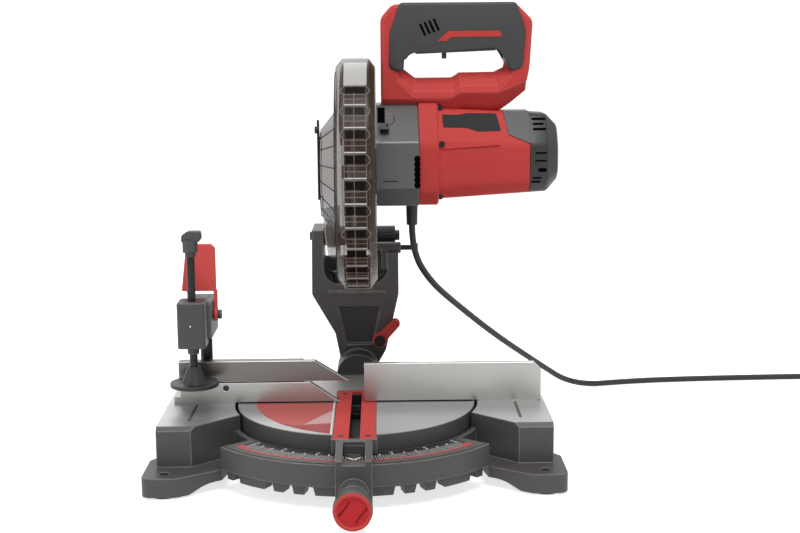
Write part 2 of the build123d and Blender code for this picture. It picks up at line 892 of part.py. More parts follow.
# Upper left fence that slides out for a bevel
with BuildPart() as fence_left_sliding:
    slab_y(
        [
            (slide_end_x, slide_bottom_z),
            (slide_bottom_x, slide_bottom_z),
            (slide_top_x, slide_top_z),
            (slide_end_x, slide_top_z),
        ],
        fence_front_y,
        fence_back_y,
    )
    block(slide_end_x, slide_plate_x, fence_back_y, slide_back_y, slide_bottom_z, slide_top_z)
    block(slide_end_x, slide_plate_x, slide_face_y, slide_back_y, slide_plate_z, slide_top_z)
    slot_room = fence_screw_r + gap
    block(
        fence_screw_x - slot_room, fence_screw_x + slot_room + slide_travel, slide_face_y, slide_back_y,
        fence_screw_z - slot_room, fence_screw_z + slot_room, Mode.SUBTRACT,
    )
fence_left_sliding.part.label = "fence_left_sliding"
export_step(fence_left_sliding.part, "parts/fence_left_sliding.step")

# Knob that clamps the sliding fence, with its screw
with BuildPart() as fence_knob:
    knob_face_y = slide_back_y + gap
    rod_y(fence_screw_x, fence_screw_z, fence_screw_r, fence_front_y + 1, knob_face_y)
    rod_y(fence_screw_x, fence_screw_z, fence_knob_r, knob_face_y, knob_face_y + fence_knob_t)
    with BuildSketch(Plane.XZ.offset(-knob_face_y - fence_knob_t)) as grip_face:
        with Locations((fence_screw_x, fence_screw_z)):
            with PolarLocations(fence_knob_r, 6):
                Circle(fence_knob_r * 0.22)
    extrude(grip_face.sketch, amount=fence_knob_t, mode=Mode.SUBTRACT)
fence_knob.part.label = "fence_knob"
export_step(fence_knob.part, "parts/fence_knob.step")

# Turntable with its front arm and the bracket of the bevel joint
with BuildPart() as turntable:
    rod_z(0, 0, table_r, table_bottom_z, table_z)
    rod_z(0, 0, table_r - skirt_w, table_bottom_z, table_z - table_t, bore=hub_r, mode=Mode.SUBTRACT)
    trough_out = trough_x + trough_wall
    rib_y = table_r - skirt_w
    block(-trough_out, trough_out, -rib_y, rib_y, trough_z - trough_wall, table_z - table_t)
    slab_x(
        [
            (-rib_y, arm_bottom_z),
            (block_back_y, arm_bottom_z),
            (block_back_y, block_bottom_z),
            (block_front_y, block_bottom_z),
            (block_front_y, block_top_z),
            (arm_root_y, table_z - 1),
            (-rib_y, table_z - 1),
        ],
        -arm_x,
        arm_x,
    )
    block(-arm_root_x, arm_root_x, arm_root_y, -rib_y, arm_bottom_z, table_z)
    with BuildSketch(Plane.YZ) as boss_face:
        with BuildLine():
            Polyline(
                (block_back_y, knob_z),
                (block_back_y, knob_z + boss_root_r),
                (block_front_y, knob_z + boss_root_r),
                (boss_front_y, knob_z + boss_r),
                (boss_front_y, knob_z),
                close=True,
            )
        make_face()
    revolve(boss_face.sketch, axis=Axis((0, 0, knob_z), (0, 1, 0)))
    cut_angle = degrees(asin((table_z - arm_bottom_z) / bevel_r))
    with BuildSketch(Plane.XZ.offset(-bevel_face_y)) as bevel_face:
        with BuildLine():
            rim = CenterArc((0, table_z), bevel_r, -cut_angle, 180 + 2 * cut_angle)
            Line(rim @ 1, rim @ 0)
        make_face()
    extrude(bevel_face.sketch, amount=bevel_face_y - bevel_front_y)
    rod_y(0, table_z, bevel_bolt_r + press, bevel_front_y + 2, bevel_face_y, mode=Mode.SUBTRACT)
    block(-trough_x, trough_x, trough_front_y, kerf_back_y, trough_z, table_z, Mode.SUBTRACT)
    block(-insert_x - running, insert_x + running, insert_front_y - running, insert_back_y + running,
          table_z - insert_t, table_z, Mode.SUBTRACT)
    block(-window_x, window_x, window_front_y, window_back_y, arm_bottom_z, table_z, Mode.SUBTRACT)
    block(-window_x, window_x, block_front_y, window_front_y, block_top_z - cable_groove, table_z,
          Mode.SUBTRACT)
    for side in (-1, 1):
        for screw_y in (insert_front_y + insert_screw_inset, insert_back_y - insert_screw_inset):
            rod_z(side * insert_screw_x, screw_y, insert_screw_r + press, table_z - insert_screw_len, table_z,
                  mode=Mode.SUBTRACT)
    rod_y(0, knob_z, screw_r + running, boss_front_y, block_back_y, mode=Mode.SUBTRACT)
    rod_y(0, plunger_z, plunger_r + running, boss_front_y + plunger_wall, block_back_y, mode=Mode.SUBTRACT)
    slot_x = plunger_r + gap
    block(-slot_x, slot_x, boss_front_y + tab_wall, block_back_y - tab_slot_back, 0, plunger_z, Mode.SUBTRACT)
    rod_z(0, 0, pivot_r + running, table_bottom_z, trough_z, mode=Mode.SUBTRACT)
turntable.part.label = "turntable"
export_step(turntable.part, "parts/turntable.step")

# Two-sided kerf insert, open to the front
with BuildPart() as kerf_insert:
    insert_top_z = table_z - insert_sink
    block(-insert_x, insert_x, insert_front_y, insert_back_y, table_z - insert_t, insert_top_z)
    block(-kerf_x, kerf_x, insert_front_y, kerf_back_y, table_z - insert_t, insert_top_z, Mode.SUBTRACT)
    for side in (-1, 1):
        for screw_y in (insert_front_y + insert_screw_inset, insert_back_y - insert_screw_inset):
            rod_z(side * insert_screw_x, screw_y, insert_screw_r + press, table_z - insert_t, insert_top_z,
                  mode=Mode.SUBTRACT)
kerf_insert.part.label = "kerf_insert"
export_step(kerf_insert.part, "parts/kerf_insert.step")

# Screws of the insert, flush with it
with BuildPart() as insert_screws:
    for side in (-1, 1):
        for screw_y in (insert_front_y + insert_screw_inset, insert_back_y - insert_screw_inset):
            rod_z(side * insert_screw_x, screw_y, insert_screw_r, table_z - insert_screw_len, insert_top_z)
insert_screws.part.label = "insert_screws"
export_step(insert_screws.part, "parts/insert_screws.step")

# Bent pointer over the miter scale, in the arm's window
with BuildPart() as miter_pointer:
    bracket_front_y = window_back_y - bracket_t
    block(-window_x + gap, window_x - gap, bracket_front_y, window_back_y, arm_bottom_z,
          arm_bottom_z + bracket_h)
    slab_z(
        [
            (-pointer_half, bracket_front_y),
            (pointer_half, bracket_front_y),
            (0, bracket_front_y - pointer_len),
        ],
        arm_bottom_z + gap,
        arm_bottom_z + gap + pointer_t,
    )
miter_pointer.part.label = "miter_pointer"
export_step(miter_pointer.part, "parts/miter_pointer.step")

# Bolt of the bevel joint
with BuildPart() as bevel_pivot_bolt:
    rod_y(0, table_z, bevel_bolt_r, bevel_front_y + 2, hub_back_y + gap)
    with BuildSketch(Plane.XZ.offset(-hub_back_y - gap - bevel_head_h)) as bolt_face:
        with Locations((0, table_z)):
            RegularPolygon(bevel_head_r, 6)
    extrude(bolt_face.sketch, amount=bevel_head_h)
bevel_pivot_bolt.part.label = "bevel_pivot_bolt"
export_step(bevel_pivot_bolt.part, "parts/bevel_pivot_bolt.step")

# Miter lock: tapered knob moulded on its screw, and the end cap
with BuildPart() as lock_knob:
    with BuildSketch(Plane.YZ) as knob_face:
        with BuildLine():
            Polyline(
                (knob_back_y, knob_z),
                (knob_back_y, knob_z + boss_r),
                (knob_front_y + knob_len * 0.3, knob_z + knob_r),
                (knob_front_y, knob_z + knob_r),
                (knob_front_y, knob_z),
                close=True,
            )
        make_face()
    revolve(knob_face.sketch, axis=Axis((0, 0, knob_z), (0, 1, 0)))
    rod_y(0, knob_z, screw_r, knob_back_y, -sector_r - gap)
lock_knob.part.label = "lock_knob"
export_step(lock_knob.part, "parts/lock_knob.step")

with BuildPart() as lock_knob_cap:
    cap_front_y = knob_front_y - knob_cap_t
    rod_y(0, knob_z, knob_cap_r, cap_front_y, knob_front_y)
    rod_y(0, knob_z, knob_cap_r - knob_cap_rim, cap_front_y, cap_front_y + knob_cap_dish, mode=Mode.SUBTRACT)
lock_knob_cap.part.label = "lock_knob_cap"
export_step(lock_knob_cap.part, "parts/lock_knob_cap.step")

# Detent plunger under the lock screw
with BuildPart() as detent_plunger:
    tab_front_y = boss_front_y + tab_wall + gap
    rod_y(0, plunger_z, plunger_r, tab_front_y, plunger_back_y)
    block(-plunger_r, plunger_r, tab_front_y, tab_front_y + plunger_tab_t, plunger_tab_z, plunger_z)
detent_plunger.part.label = "detent_plunger"
export_step(detent_plunger.part, "parts/detent_plunger.step")

# Fork: bevel hub, neck, two cheeks and the lug of the pivot shaft
with BuildPart() as bevel_arm_casting:
    neck_z = table_z + bevel_r * 0.6
    slab_y(
        [
            (-bevel_r * 0.8, table_z),
            (-bevel_r * 0.86, neck_z),
            (-fork_neck_left, neck_z + neck_left_rise),
            (fork_left_x, shoulder_z),
            (fork_left_x + 1, left_top_z),
            (cheek_inner_x, left_top_z),
            (cheek_inner_x, throat_z),
            (right_cheek_x, throat_z),
            (right_cheek_x, right_top_z),
            (fork_right_x, right_top_z),
            (fork_right_x, shoulder_z),
            (fork_neck_right + neck_right_out, neck_z + neck_right_rise),
            (fork_neck_right, neck_z + neck_right_root),
            (bevel_r * 0.8, table_z),
        ],
        fork_front_y,
        fork_back_y,
    )
    inner = bevel_arm_casting.edges().filter_by(Axis.Y).filter_by(
        lambda edge: abs(edge.center().Z - throat_z) < 0.1 and edge.length > fork_back_y - fork_front_y - 1
    )
    fillet(inner, throat_round)
    block(cheek_inner_x - throat_web_t, right_cheek_x + throat_web_t, fork_back_y - throat_web_t, fork_back_y,
          throat_z - throat_web_t, throat_z + throat_web_h)
    block(-fork_neck_left, fork_neck_right, fork_back_y - neck_cut, fork_back_y, table_z,
          throat_z - throat_floor, Mode.SUBTRACT)
    slab_y(
        [
            (-bevel_r * 0.55, table_z + bevel_r + 6),
            (-bevel_r * 0.95, throat_z - neck_recess_top),
            (bevel_r * 1.1, throat_z - neck_recess_top),
            (bevel_r * 0.7, table_z + bevel_r + 6),
        ],
        fork_front_y,
        fork_front_y + neck_recess,
        Mode.SUBTRACT,
    )
    rod_y(0, table_z, bevel_r, hub_face_y, hub_back_y)
    rod_y(0, table_z, bevel_bolt_r + running, hub_face_y, fork_back_y, mode=Mode.SUBTRACT)
    rod_y(0, table_z, bevel_head_r + 2, hub_back_y, fork_back_y, mode=Mode.SUBTRACT)
    rod_x(chop_y, chop_z, lug_r, lug_left_x, lug_right_x)
    block(lug_left_x, lug_right_x, chop_y - lug_web, chop_y + lug_web, throat_z - 1, chop_z)
    rod_x(chop_y, chop_z, shaft_r + press, fork_left_x - 1, lug_right_x, mode=Mode.SUBTRACT)
    lock_boss_left_x = lug_left_x + slack
    lock_boss_right_x = fork_right_x + lock_boss_out
    rod_x(lock_y, lock_z, lock_boss_r, lock_boss_left_x, lock_boss_right_x)
    block(right_cheek_x - lock_boss_r, right_cheek_x + boss_sink, lock_y - lock_boss_r, lock_y + lock_boss_r,
          right_top_z - lock_rib, lock_z)
    rod_x(lock_y, lock_z, lock_r + running, lock_boss_left_x, lock_boss_right_x, mode=Mode.SUBTRACT)
    rod_y(lever_x, lever_z, lever_bolt_r + press, fork_front_y, fork_back_y, mode=Mode.SUBTRACT)
    rod_z(stop_bolt_x, stop_bolt_y, stop_bolt_r + press, stop_hole_z, throat_z + throat_round,
          mode=Mode.SUBTRACT)
bevel_arm_casting.part.label = "bevel_arm_casting"
export_step(bevel_arm_casting.part, "parts/bevel_arm_casting.step")

# Shaft that the head turns on
with BuildPart() as pivot_shaft:
    rod_x(chop_y, chop_z, shaft_r, fork_left_x + 1, lug_right_x)
    rod_x(chop_y, chop_z, shaft_head_r, fork_left_x + 1 - shaft_head_h, fork_left_x + 1)
pivot_shaft.part.label = "pivot_shaft"
export_step(pivot_shaft.part, "parts/pivot_shaft.step")

# Fluted cover over the right end of the shaft
with BuildPart() as spring_cover:
    cover_r = lug_r + press + cover_wall
    cover_left_x = lug_left_x + gap
    cover_right_x = lug_right_x + cover_end + gap
    rod_x(chop_y, chop_z, cover_r, cover_left_x, cover_right_x)
    rod_x(chop_y, chop_z, lug_r + press, cover_left_x, lug_right_x + gap, mode=Mode.SUBTRACT)
    block(cover_left_x, lug_right_x + gap, chop_y - lug_web - gap, chop_y + lug_web + gap,
          chop_z - cover_r, chop_z, Mode.SUBTRACT)
    with BuildSketch(Plane.YZ.offset(cover_left_x)) as flute_face:
        with Locations((chop_y, chop_z)):
            with PolarLocations(cover_r + flute_r * 0.3, cover_flutes):
                Circle(flute_r)
    extrude(flute_face.sketch, amount=cover_right_x - cover_left_x, mode=Mode.SUBTRACT)
    rod_x(chop_y, chop_z, cover_nut_r, cover_right_x, cover_right_x + cover_nut_h)
spring_cover.part.label = "spring_cover"
export_step(spring_cover.part, "parts/spring_cover.step")

# Return spring round the nose of the head's boss: a helix of arcs with straight ends
with BuildPart() as torsion_spring:
    spring_left_x = head_boss_left_x + spring_wire_r + gap
    steps = 4 * spring_turns
    spring_points = []
    spring_ways = []
    for step in range(steps + 1):
        turn = pi / 2 * step
        spring_points.append(Vector(
            spring_left_x + spring_pitch * step / 4,
            chop_y + spring_r * cos(turn),
            chop_z + spring_r * sin(turn),
        ))
        way = Vector(spring_pitch / (2 * pi * spring_r), -sin(turn), cos(turn))
        spring_ways.append(way.normalized())
    with BuildLine() as spring_path:
        Line(spring_points[0] - spring_ways[0] * 2 * spring_wire_r, spring_points[0])
        for step in range(steps):
            after = step + 1
            tangent_arcs(spring_points[step], spring_ways[step], spring_points[after], spring_ways[after])
        Line(spring_points[-1], spring_points[-1] + spring_ways[-1] * 2 * spring_wire_r)
    spring_start = spring_path.wire().position_at(0)
    with BuildSketch(Plane(origin=spring_start, z_dir=spring_ways[0])) as spring_wire:
        Circle(spring_wire_r)
    sweep(spring_wire.sketch, path=spring_path.wire())
torsion_spring.part.label = "torsion_spring"
export_step(torsion_spring.part, "parts/torsion_spring.step")
print("spring least gap", round(least_gap(spring_path.wire(), spring_wire_r, pi * spring_r), 2))

# Bevel lever and its bolt
with BuildPart() as bevel_lever:
    lever_front_y = fork_front_y - gap - lever_t
    with BuildSketch(Plane.XZ.offset(-fork_front_y + gap)) as lever_face:
        with Locations((lever_x, lever_z)):
            Circle(lever_hub_r)
        with Locations((lever_tip_x, lever_tip_z)):
            Circle(lever_tip_r)
        reach_x = lever_tip_x - lever_x
        reach_z = lever_tip_z - lever_z
        reach = hypot(reach_x, reach_z)
        side_x = -reach_z / reach
        side_z = reach_x / reach
        with BuildLine():
            Polyline(
                (lever_x + side_x * lever_hub_r * 0.7, lever_z + side_z * lever_hub_r * 0.7),
                (lever_tip_x + side_x * lever_tip_r, lever_tip_z + side_z * lever_tip_r),
                (lever_tip_x - side_x * lever_tip_r, lever_tip_z - side_z * lever_tip_r),
                (lever_x - side_x * lever_hub_r * 0.7, lever_z - side_z * lever_hub_r * 0.7),
                close=True,
            )
        make_face()
    extrude(lever_face.sketch, amount=lever_t)
    rod_y(lever_x, lever_z, lever_bolt_r + running, lever_front_y, fork_front_y, mode=Mode.SUBTRACT)
bevel_lever.part.label = "bevel_lever"
export_step(bevel_lever.part, "parts/bevel_lever.step")

# Bolt of the bevel lever, and the stop bolt in the floor of the throat
with BuildPart() as arm_bolts:
    rod_y(lever_x, lever_z, lever_bolt_r, lever_front_y - gap, fork_front_y + 30)
    rod_y(lever_x, lever_z, lever_bolt_r * 1.6, lever_front_y - gap - lever_bolt_r, lever_front_y - gap)
    stop_bottom_z = stop_hole_z + 1
    rod_z(stop_bolt_x, stop_bolt_y, stop_bolt_r, stop_bottom_z, stop_bottom_z + stop_bolt_len)
    with BuildSketch(Plane.XY.offset(stop_bottom_z + stop_bolt_len)) as stop_face:
        with Locations((stop_bolt_x, stop_bolt_y)):
            RegularPolygon(stop_bolt_r * 1.8, 6)
    extrude(stop_face.sketch, amount=stop_bolt_r)
arm_bolts.part.label = "arm_bolts"
export_step(arm_bolts.part, "parts/arm_bolts.step")

# Pin that holds the head down
with BuildPart() as head_lock_pin:
    pin_tip_x = lock_boss_left_x + gap
    pin_flange_x = lock_boss_right_x + lock_depth
    rod_x(lock_y, lock_z, lock_r, pin_tip_x, pin_flange_x)
    pin_end_x = pin_flange_x + lock_knob_len
    rod_x(lock_y, lock_z, lock_knob_r, pin_flange_x, pin_end_x)
    rod_x(lock_y, lock_z, lock_flange_r, pin_end_x, pin_end_x + lock_flange_t)
head_lock_pin.part.label = "head_lock_pin"
export_step(head_lock_pin.part, "parts/head_lock_pin.step")

# Head casting: upper guard, its side plate, the arm and the pivot boss
with BuildPart() as head_casting:
    swept_section(
        [
            (upper_right_x, guard_boss_r),
            (upper_right_x, upper_r - upper_bevel_r),
            (upper_right_x - upper_bevel_x, upper_r),
            (upper_left_x + upper_bevel_x, upper_r),
            (upper_left_x, upper_r - upper_bevel_r),
            (upper_left_x, upper_window_r),
            (upper_left_x + upper_wall, upper_window_r),
            (upper_left_x + upper_wall, upper_r - upper_bevel_r - 1),
            (upper_left_x + upper_bevel_x + 1, upper_r - upper_wall),
            (upper_right_x - upper_bevel_x - 1, upper_r - upper_wall),
            (upper_right_x - upper_wall, upper_r - upper_bevel_r - 1),
            (upper_right_x - upper_wall, guard_boss_r),
        ],
        upper_start,
        upper_span,
    )
    rod_x(arbor_y, arbor_z, guard_boss_r + 12, upper_right_x - upper_wall, upper_right_x, bore=spindle_r + 6)
    along_y = cos(stop_angle)
    along_z = sin(stop_angle)
    arm_start = upper_r - upper_wall / 2
    slab_x(
        [
            (arbor_y + along_y * arm_start - along_z * head_arm_half, arbor_z + along_z * arm_start
             + along_y * head_arm_half),
            (chop_y - along_z * head_boss_r, chop_z + along_y * head_boss_r),
            (chop_y + along_z * head_boss_r, chop_z - along_y * head_boss_r),
            (arbor_y + along_y * arm_start + along_z * head_arm_half, arbor_z + along_z * arm_start
             - along_y * head_arm_half),
        ],
        head_arm_left_x,
        head_arm_right_x,
    )
    rod_x(chop_y, chop_z, head_boss_r, head_arm_left_x, head_boss_right_x)
    rod_x(chop_y, chop_z, spring_nose_r, head_boss_left_x, head_arm_left_x)
    rod_x(chop_y, chop_z, shaft_r + running, head_boss_left_x, head_boss_right_x, mode=Mode.SUBTRACT)
    lock_turn = radians(-45)
    lock_dy = lock_y - chop_y
    lock_dz = lock_z - chop_z
    rod_x(
        chop_y + lock_dy * cos(lock_turn) - lock_dz * sin(lock_turn),
        chop_z + lock_dy * sin(lock_turn) + lock_dz * cos(lock_turn),
        lock_r + lock_hole_room,
        head_arm_left_x + 4,
        head_arm_right_x,
        mode=Mode.SUBTRACT,
    )
head_casting.part.label = "head_casting"
export_step(head_casting.part, "parts/head_casting.step")

# Gear housing: faceted case, guard boss and bearing wall
with BuildPart() as gear_housing:
    crease_z = motor_z + 14
    slab_x(
        [
            (housing_front_y, arbor_z - 14),
            (housing_front_y, crease_z),
            (motor_y - 20, housing_top_z),
            (motor_y + 18, housing_top_z),
            (housing_back_y, motor_z + 24),
            (housing_back_y, motor_z - 24),
            (motor_y + 32, housing_bottom_z),
            (arbor_y - 14, housing_bottom_z),
        ],
        housing_left_x,
        housing_right_x,
    )
    fillet(gear_housing.edges().filter_by(Axis.X), housing_wall)
    rod_x(arbor_y, arbor_z, guard_boss_r, upper_right_x, housing_left_x)
    gear_tip_r = gear_module * (gear_teeth / 2 + 0.85)
    rod_x(arbor_y, arbor_z, gear_tip_r + gear_room, housing_left_x + housing_wall, wheel_wall_x,
          mode=Mode.SUBTRACT)
    rod_x(motor_y, motor_z, rotor_bearing_r + gear_room, housing_left_x + housing_wall, wheel_wall_x,
          mode=Mode.SUBTRACT)
    rod_x(arbor_y, arbor_z, spindle_bearing_r + press, upper_right_x, housing_left_x + housing_wall,
          mode=Mode.SUBTRACT)
    rod_x(arbor_y, arbor_z, rotor_bearing_r + press, wheel_wall_x, wheel_wall_x + bearing_t - 1,
          mode=Mode.SUBTRACT)
    rod_x(motor_y, motor_z, rotor_bearing_r + press, wheel_wall_x, wheel_wall_x + wheel_wall_t,
          mode=Mode.SUBTRACT)
    rod_x(motor_y, motor_z, fan_r + gear_room, wheel_wall_x + wheel_wall_t, housing_right_x,
          mode=Mode.SUBTRACT)
    rod_y(lock_button_x, lock_button_z, lock_button_r + running, housing_front_y, handle_y,
          mode=Mode.SUBTRACT)
gear_housing.part.label = "gear_housing"
export_step(gear_housing.part, "parts/gear_housing.step")

# Motor housing, with the step of its mounting ring
with BuildPart() as motor_housing:
    extrude(motor_section(housing_right_x, ring_half), amount=ring_right_x - housing_right_x)
    loft([motor_section(ring_right_x, body_left_half), motor_section(body_right_x, body_right_half)])
    block(cap_joint_x, cap_right_x, motor_y - ring_half, motor_y + ring_half, motor_z - ring_half,
          motor_z + ring_half, Mode.SUBTRACT)
    block(cap_tongue_x, cap_right_x, motor_y - ring_half, motor_y + ring_half, cap_tongue_z,
          motor_z + ring_half, Mode.SUBTRACT)
    rod_x(motor_y, motor_z, motor_bore_r, housing_right_x, cap_joint_x, mode=Mode.SUBTRACT)
    for side in (-1, 1):
        rod_x(motor_y + side * (ring_half + body_left_half) / 2, motor_z, screw_shank_r + press,
              ring_right_x - screw_len, ring_right_x, mode=Mode.SUBTRACT)
        rod_x(motor_y, motor_z + side * (ring_half + body_left_half) / 2, screw_shank_r + press,
              ring_right_x - screw_len, ring_right_x, mode=Mode.SUBTRACT)
motor_housing.part.label = "motor_housing"
export_step(motor_housing.part, "parts/motor_housing.step")

# End cap with its tongue over the motor's top and the seat of the rear bearing
with BuildPart() as motor_end_cap:
    loft([motor_section(ring_right_x, body_left_half), motor_section(body_right_x, body_right_half)])
    block(ring_right_x, cap_tongue_x, motor_y - ring_half, motor_y + ring_half, motor_z - ring_half,
          motor_z + ring_half, Mode.SUBTRACT)
    block(ring_right_x, cap_joint_x, motor_y - ring_half, motor_y + ring_half, motor_z - ring_half,
          cap_tongue_z, Mode.SUBTRACT)
    loft([motor_section(body_right_x, body_right_half), motor_section(cap_right_x, cap_end_half)])
    rod_x(motor_y, motor_z, motor_bore_r, cap_tongue_x, cap_joint_x + cap_wall, mode=Mode.SUBTRACT)
    rod_x(motor_y, motor_z, cap_end_half - 2, cap_joint_x, cap_right_x - cap_wall, bore=rotor_bearing_r + 4,
          mode=Mode.SUBTRACT)
    rod_x(motor_y, motor_z, rotor_bearing_r + press, cap_joint_x, rear_bearing_x + bearing_t,
          mode=Mode.SUBTRACT)
    rod_x(motor_y, motor_z, rotor_r + 1, cap_joint_x, cap_right_x - cap_wall, mode=Mode.SUBTRACT)
motor_end_cap.part.label = "motor_end_cap"
export_step(motor_end_cap.part, "parts/motor_end_cap.step")

# Screws that hold the motor's ring to the gear housing
with BuildPart() as housing_screws:
    for turn in range(4):
        screw_y = motor_y + cos(turn * pi / 2) * (ring_half + body_left_half) / 2
        screw_z = motor_z + sin(turn * pi / 2) * (ring_half + body_left_half) / 2
        rod_x(screw_y, screw_z, screw_shank_r, ring_right_x - screw_len, ring_right_x)
        rod_x(screw_y, screw_z, screw_head_r, ring_right_x, ring_right_x + screw_head_h)
housing_screws.part.label = "housing_screws"
export_step(housing_screws.part, "parts/housing_screws.step")

# Stator in the motor's bore
with BuildPart() as stator:
    rod_x(motor_y, motor_z, stator_r, stator_x, stator_x + stator_t, bore=stator_bore_r)
stator.part.label = "stator"
export_step(stator.part, "parts/stator.step")

# Carbon brushes on both sides of the commutator, in holders that reach the motor's wall
with BuildPart() as carbon_brushes:
    brush_x = commutator_x + (commutator_t - brush_w) / 2
    for side in (-1, 1):
        tip = side * (commutator_r + gap)
        wall = side * (motor_bore_r - 1)
        block(brush_x, brush_x + brush_w, motor_y + min(tip, wall), motor_y + max(tip, wall),
              motor_z - brush_w / 2, motor_z + brush_w / 2)
carbon_brushes.part.label = "carbon_brushes"
export_step(carbon_brushes.part, "parts/carbon_brushes.step")

# Ball bearings of the spindle and of the rotor
with BuildPart() as ball_bearings:
    rod_x(arbor_y, arbor_z, spindle_bearing_r, upper_right_x + 1, upper_right_x + 1 + bearing_t,
          bore=spindle_r + running)
    rod_x(arbor_y, arbor_z, rotor_bearing_r, wheel_wall_x, wheel_wall_x + bearing_t - 1,
          bore=spindle_r + running)
    for bearing_x in (wheel_wall_x, rear_bearing_x):
        rod_x(motor_y, motor_z, rotor_bearing_r, bearing_x, bearing_x + bearing_t, bore=rotor_r + running)
ball_bearings.part.label = "ball_bearings"
export_step(ball_bearings.part, "parts/ball_bearings.step")

# Spindle, gear, flanges, blade and arbor bolt
blade_left_x = -blade_t / 2
blade_right_x = blade_t / 2
with BuildPart() as spindle_shaft:
    rod_x(arbor_y, arbor_z, spindle_r, blade_left_x, wheel_wall_x + bearing_t - 2)
    rod_x(arbor_y, arbor_z, arbor_bolt_r + press, blade_left_x, arbor_bolt_len, mode=Mode.SUBTRACT)
spindle_shaft.part.label = "spindle_shaft"
export_step(spindle_shaft.part, "parts/spindle_shaft.step")

with BuildPart() as spindle_gear:
    slab(
        Plane(origin=(gear_x, arbor_y, arbor_z), x_dir=(0, 1, 0), z_dir=(1, 0, 0)),
        gear_outline(gear_teeth, -pinion_shift, radians(drive_lean)),
        gear_t,
    )
    rod_x(arbor_y, arbor_z, spindle_r + press, gear_x, gear_x + gear_t, mode=Mode.SUBTRACT)
spindle_gear.part.label = "spindle_gear"
export_step(spindle_gear.part, "parts/spindle_gear.step")

with BuildPart() as blade_flanges:
    rod_x(arbor_y, arbor_z, flange_r, blade_right_x, blade_right_x + flange_t, bore=spindle_r + press)
    rod_x(arbor_y, arbor_z, blade_bore_r - running, blade_left_x, blade_right_x, bore=spindle_r + press)
    rod_x(arbor_y, arbor_z, flange_r, blade_left_x - gap - flange_t, blade_left_x - gap,
          bore=arbor_bolt_r + running)
blade_flanges.part.label = "blade_flanges"
export_step(blade_flanges.part, "parts/blade_flanges.step")

with BuildPart() as saw_blade:
    tooth_points = []
    for tooth in range(blade_teeth):
        start = 2 * pi * tooth / blade_teeth
        pitch = 2 * pi / blade_teeth
        for radius, share in ((blade_r, 0.0), (blade_r - 1.2, 0.3), (blade_r - tooth_depth, 0.62),
                              (blade_r - tooth_depth, 0.86)):
            angle = start + pitch * share
            tooth_points.append((radius * cos(angle), radius * sin(angle)))
    slab(
        Plane(origin=(blade_left_x, arbor_y, arbor_z), x_dir=(0, 1, 0), z_dir=(1, 0, 0)),
        tooth_points,
        blade_t,
    )
    rod_x(arbor_y, arbor_z, blade_bore_r, blade_left_x, blade_right_x, mode=Mode.SUBTRACT)
saw_blade.part.label = "saw_blade"
export_step(saw_blade.part, "parts/saw_blade.step")

with BuildPart() as arbor_bolt:
    bolt_seat_x = blade_left_x - gap - flange_t
    rod_x(arbor_y, arbor_z, arbor_bolt_r, bolt_seat_x, arbor_bolt_len)
    with BuildSketch(Plane.YZ.offset(bolt_seat_x)) as arbor_head:
        with Locations((arbor_y, arbor_z)):
            RegularPolygon(arbor_head_r, 6)
    extrude(arbor_head.sketch, amount=-arbor_head_h)
arbor_bolt.part.label = "arbor_bolt"
export_step(arbor_bolt.part, "parts/arbor_bolt.step")

# Rotor shaft with its pinion, armature with commutator, and fan
with BuildPart() as rotor_shaft:
    rod_x(motor_y, motor_z, rotor_r, gear_x - 2, rear_bearing_x + bearing_t + 2)
    slab(
        Plane(origin=(gear_x, motor_y, motor_z), x_dir=(0, 1, 0), z_dir=(1, 0, 0)),
        gear_outline(pinion_teeth, pinion_shift, radians(drive_lean) + pi + pi / pinion_teeth),
        gear_t,
    )
rotor_shaft.part.label = "rotor_shaft"
export_step(rotor_shaft.part, "parts/rotor_shaft.step")

with BuildPart() as armature:
    rod_x(motor_y, motor_z, armature_r, stator_x + 1, stator_x + stator_t - 1)
    rod_x(motor_y, motor_z, commutator_r, stator_x + stator_t - 1, commutator_x + commutator_t)
    rod_x(motor_y, motor_z, rotor_r + press, stator_x, commutator_x + commutator_t, mode=Mode.SUBTRACT)
armature.part.label = "armature"
export_step(armature.part, "parts/armature.step")

with BuildPart() as cooling_fan:
    rod_x(motor_y, motor_z, fan_r, fan_x, fan_x + fan_blade_t)
    rod_x(motor_y, motor_z, rotor_r + 4, fan_x, fan_x + fan_t)
    for step in range(fan_blades):
        turn = 360 * step / fan_blades
        with BuildSketch(Plane.YZ.offset(fan_x + fan_blade_t)) as vane:
            with Locations(Location((motor_y, motor_z, 0), (0, 0, turn))):
                with Locations(((fan_r + rotor_r + 3) / 2, 0)):
                    Rectangle(fan_r - rotor_r - 3.5, fan_blade_t)
        extrude(vane.sketch, amount=fan_t - fan_blade_t)
    rod_x(motor_y, motor_z, rotor_r + press, fan_x, fan_x + fan_t, mode=Mode.SUBTRACT)
cooling_fan.part.label = "cooling_fan"
export_step(cooling_fan.part, "parts/cooling_fan.step")

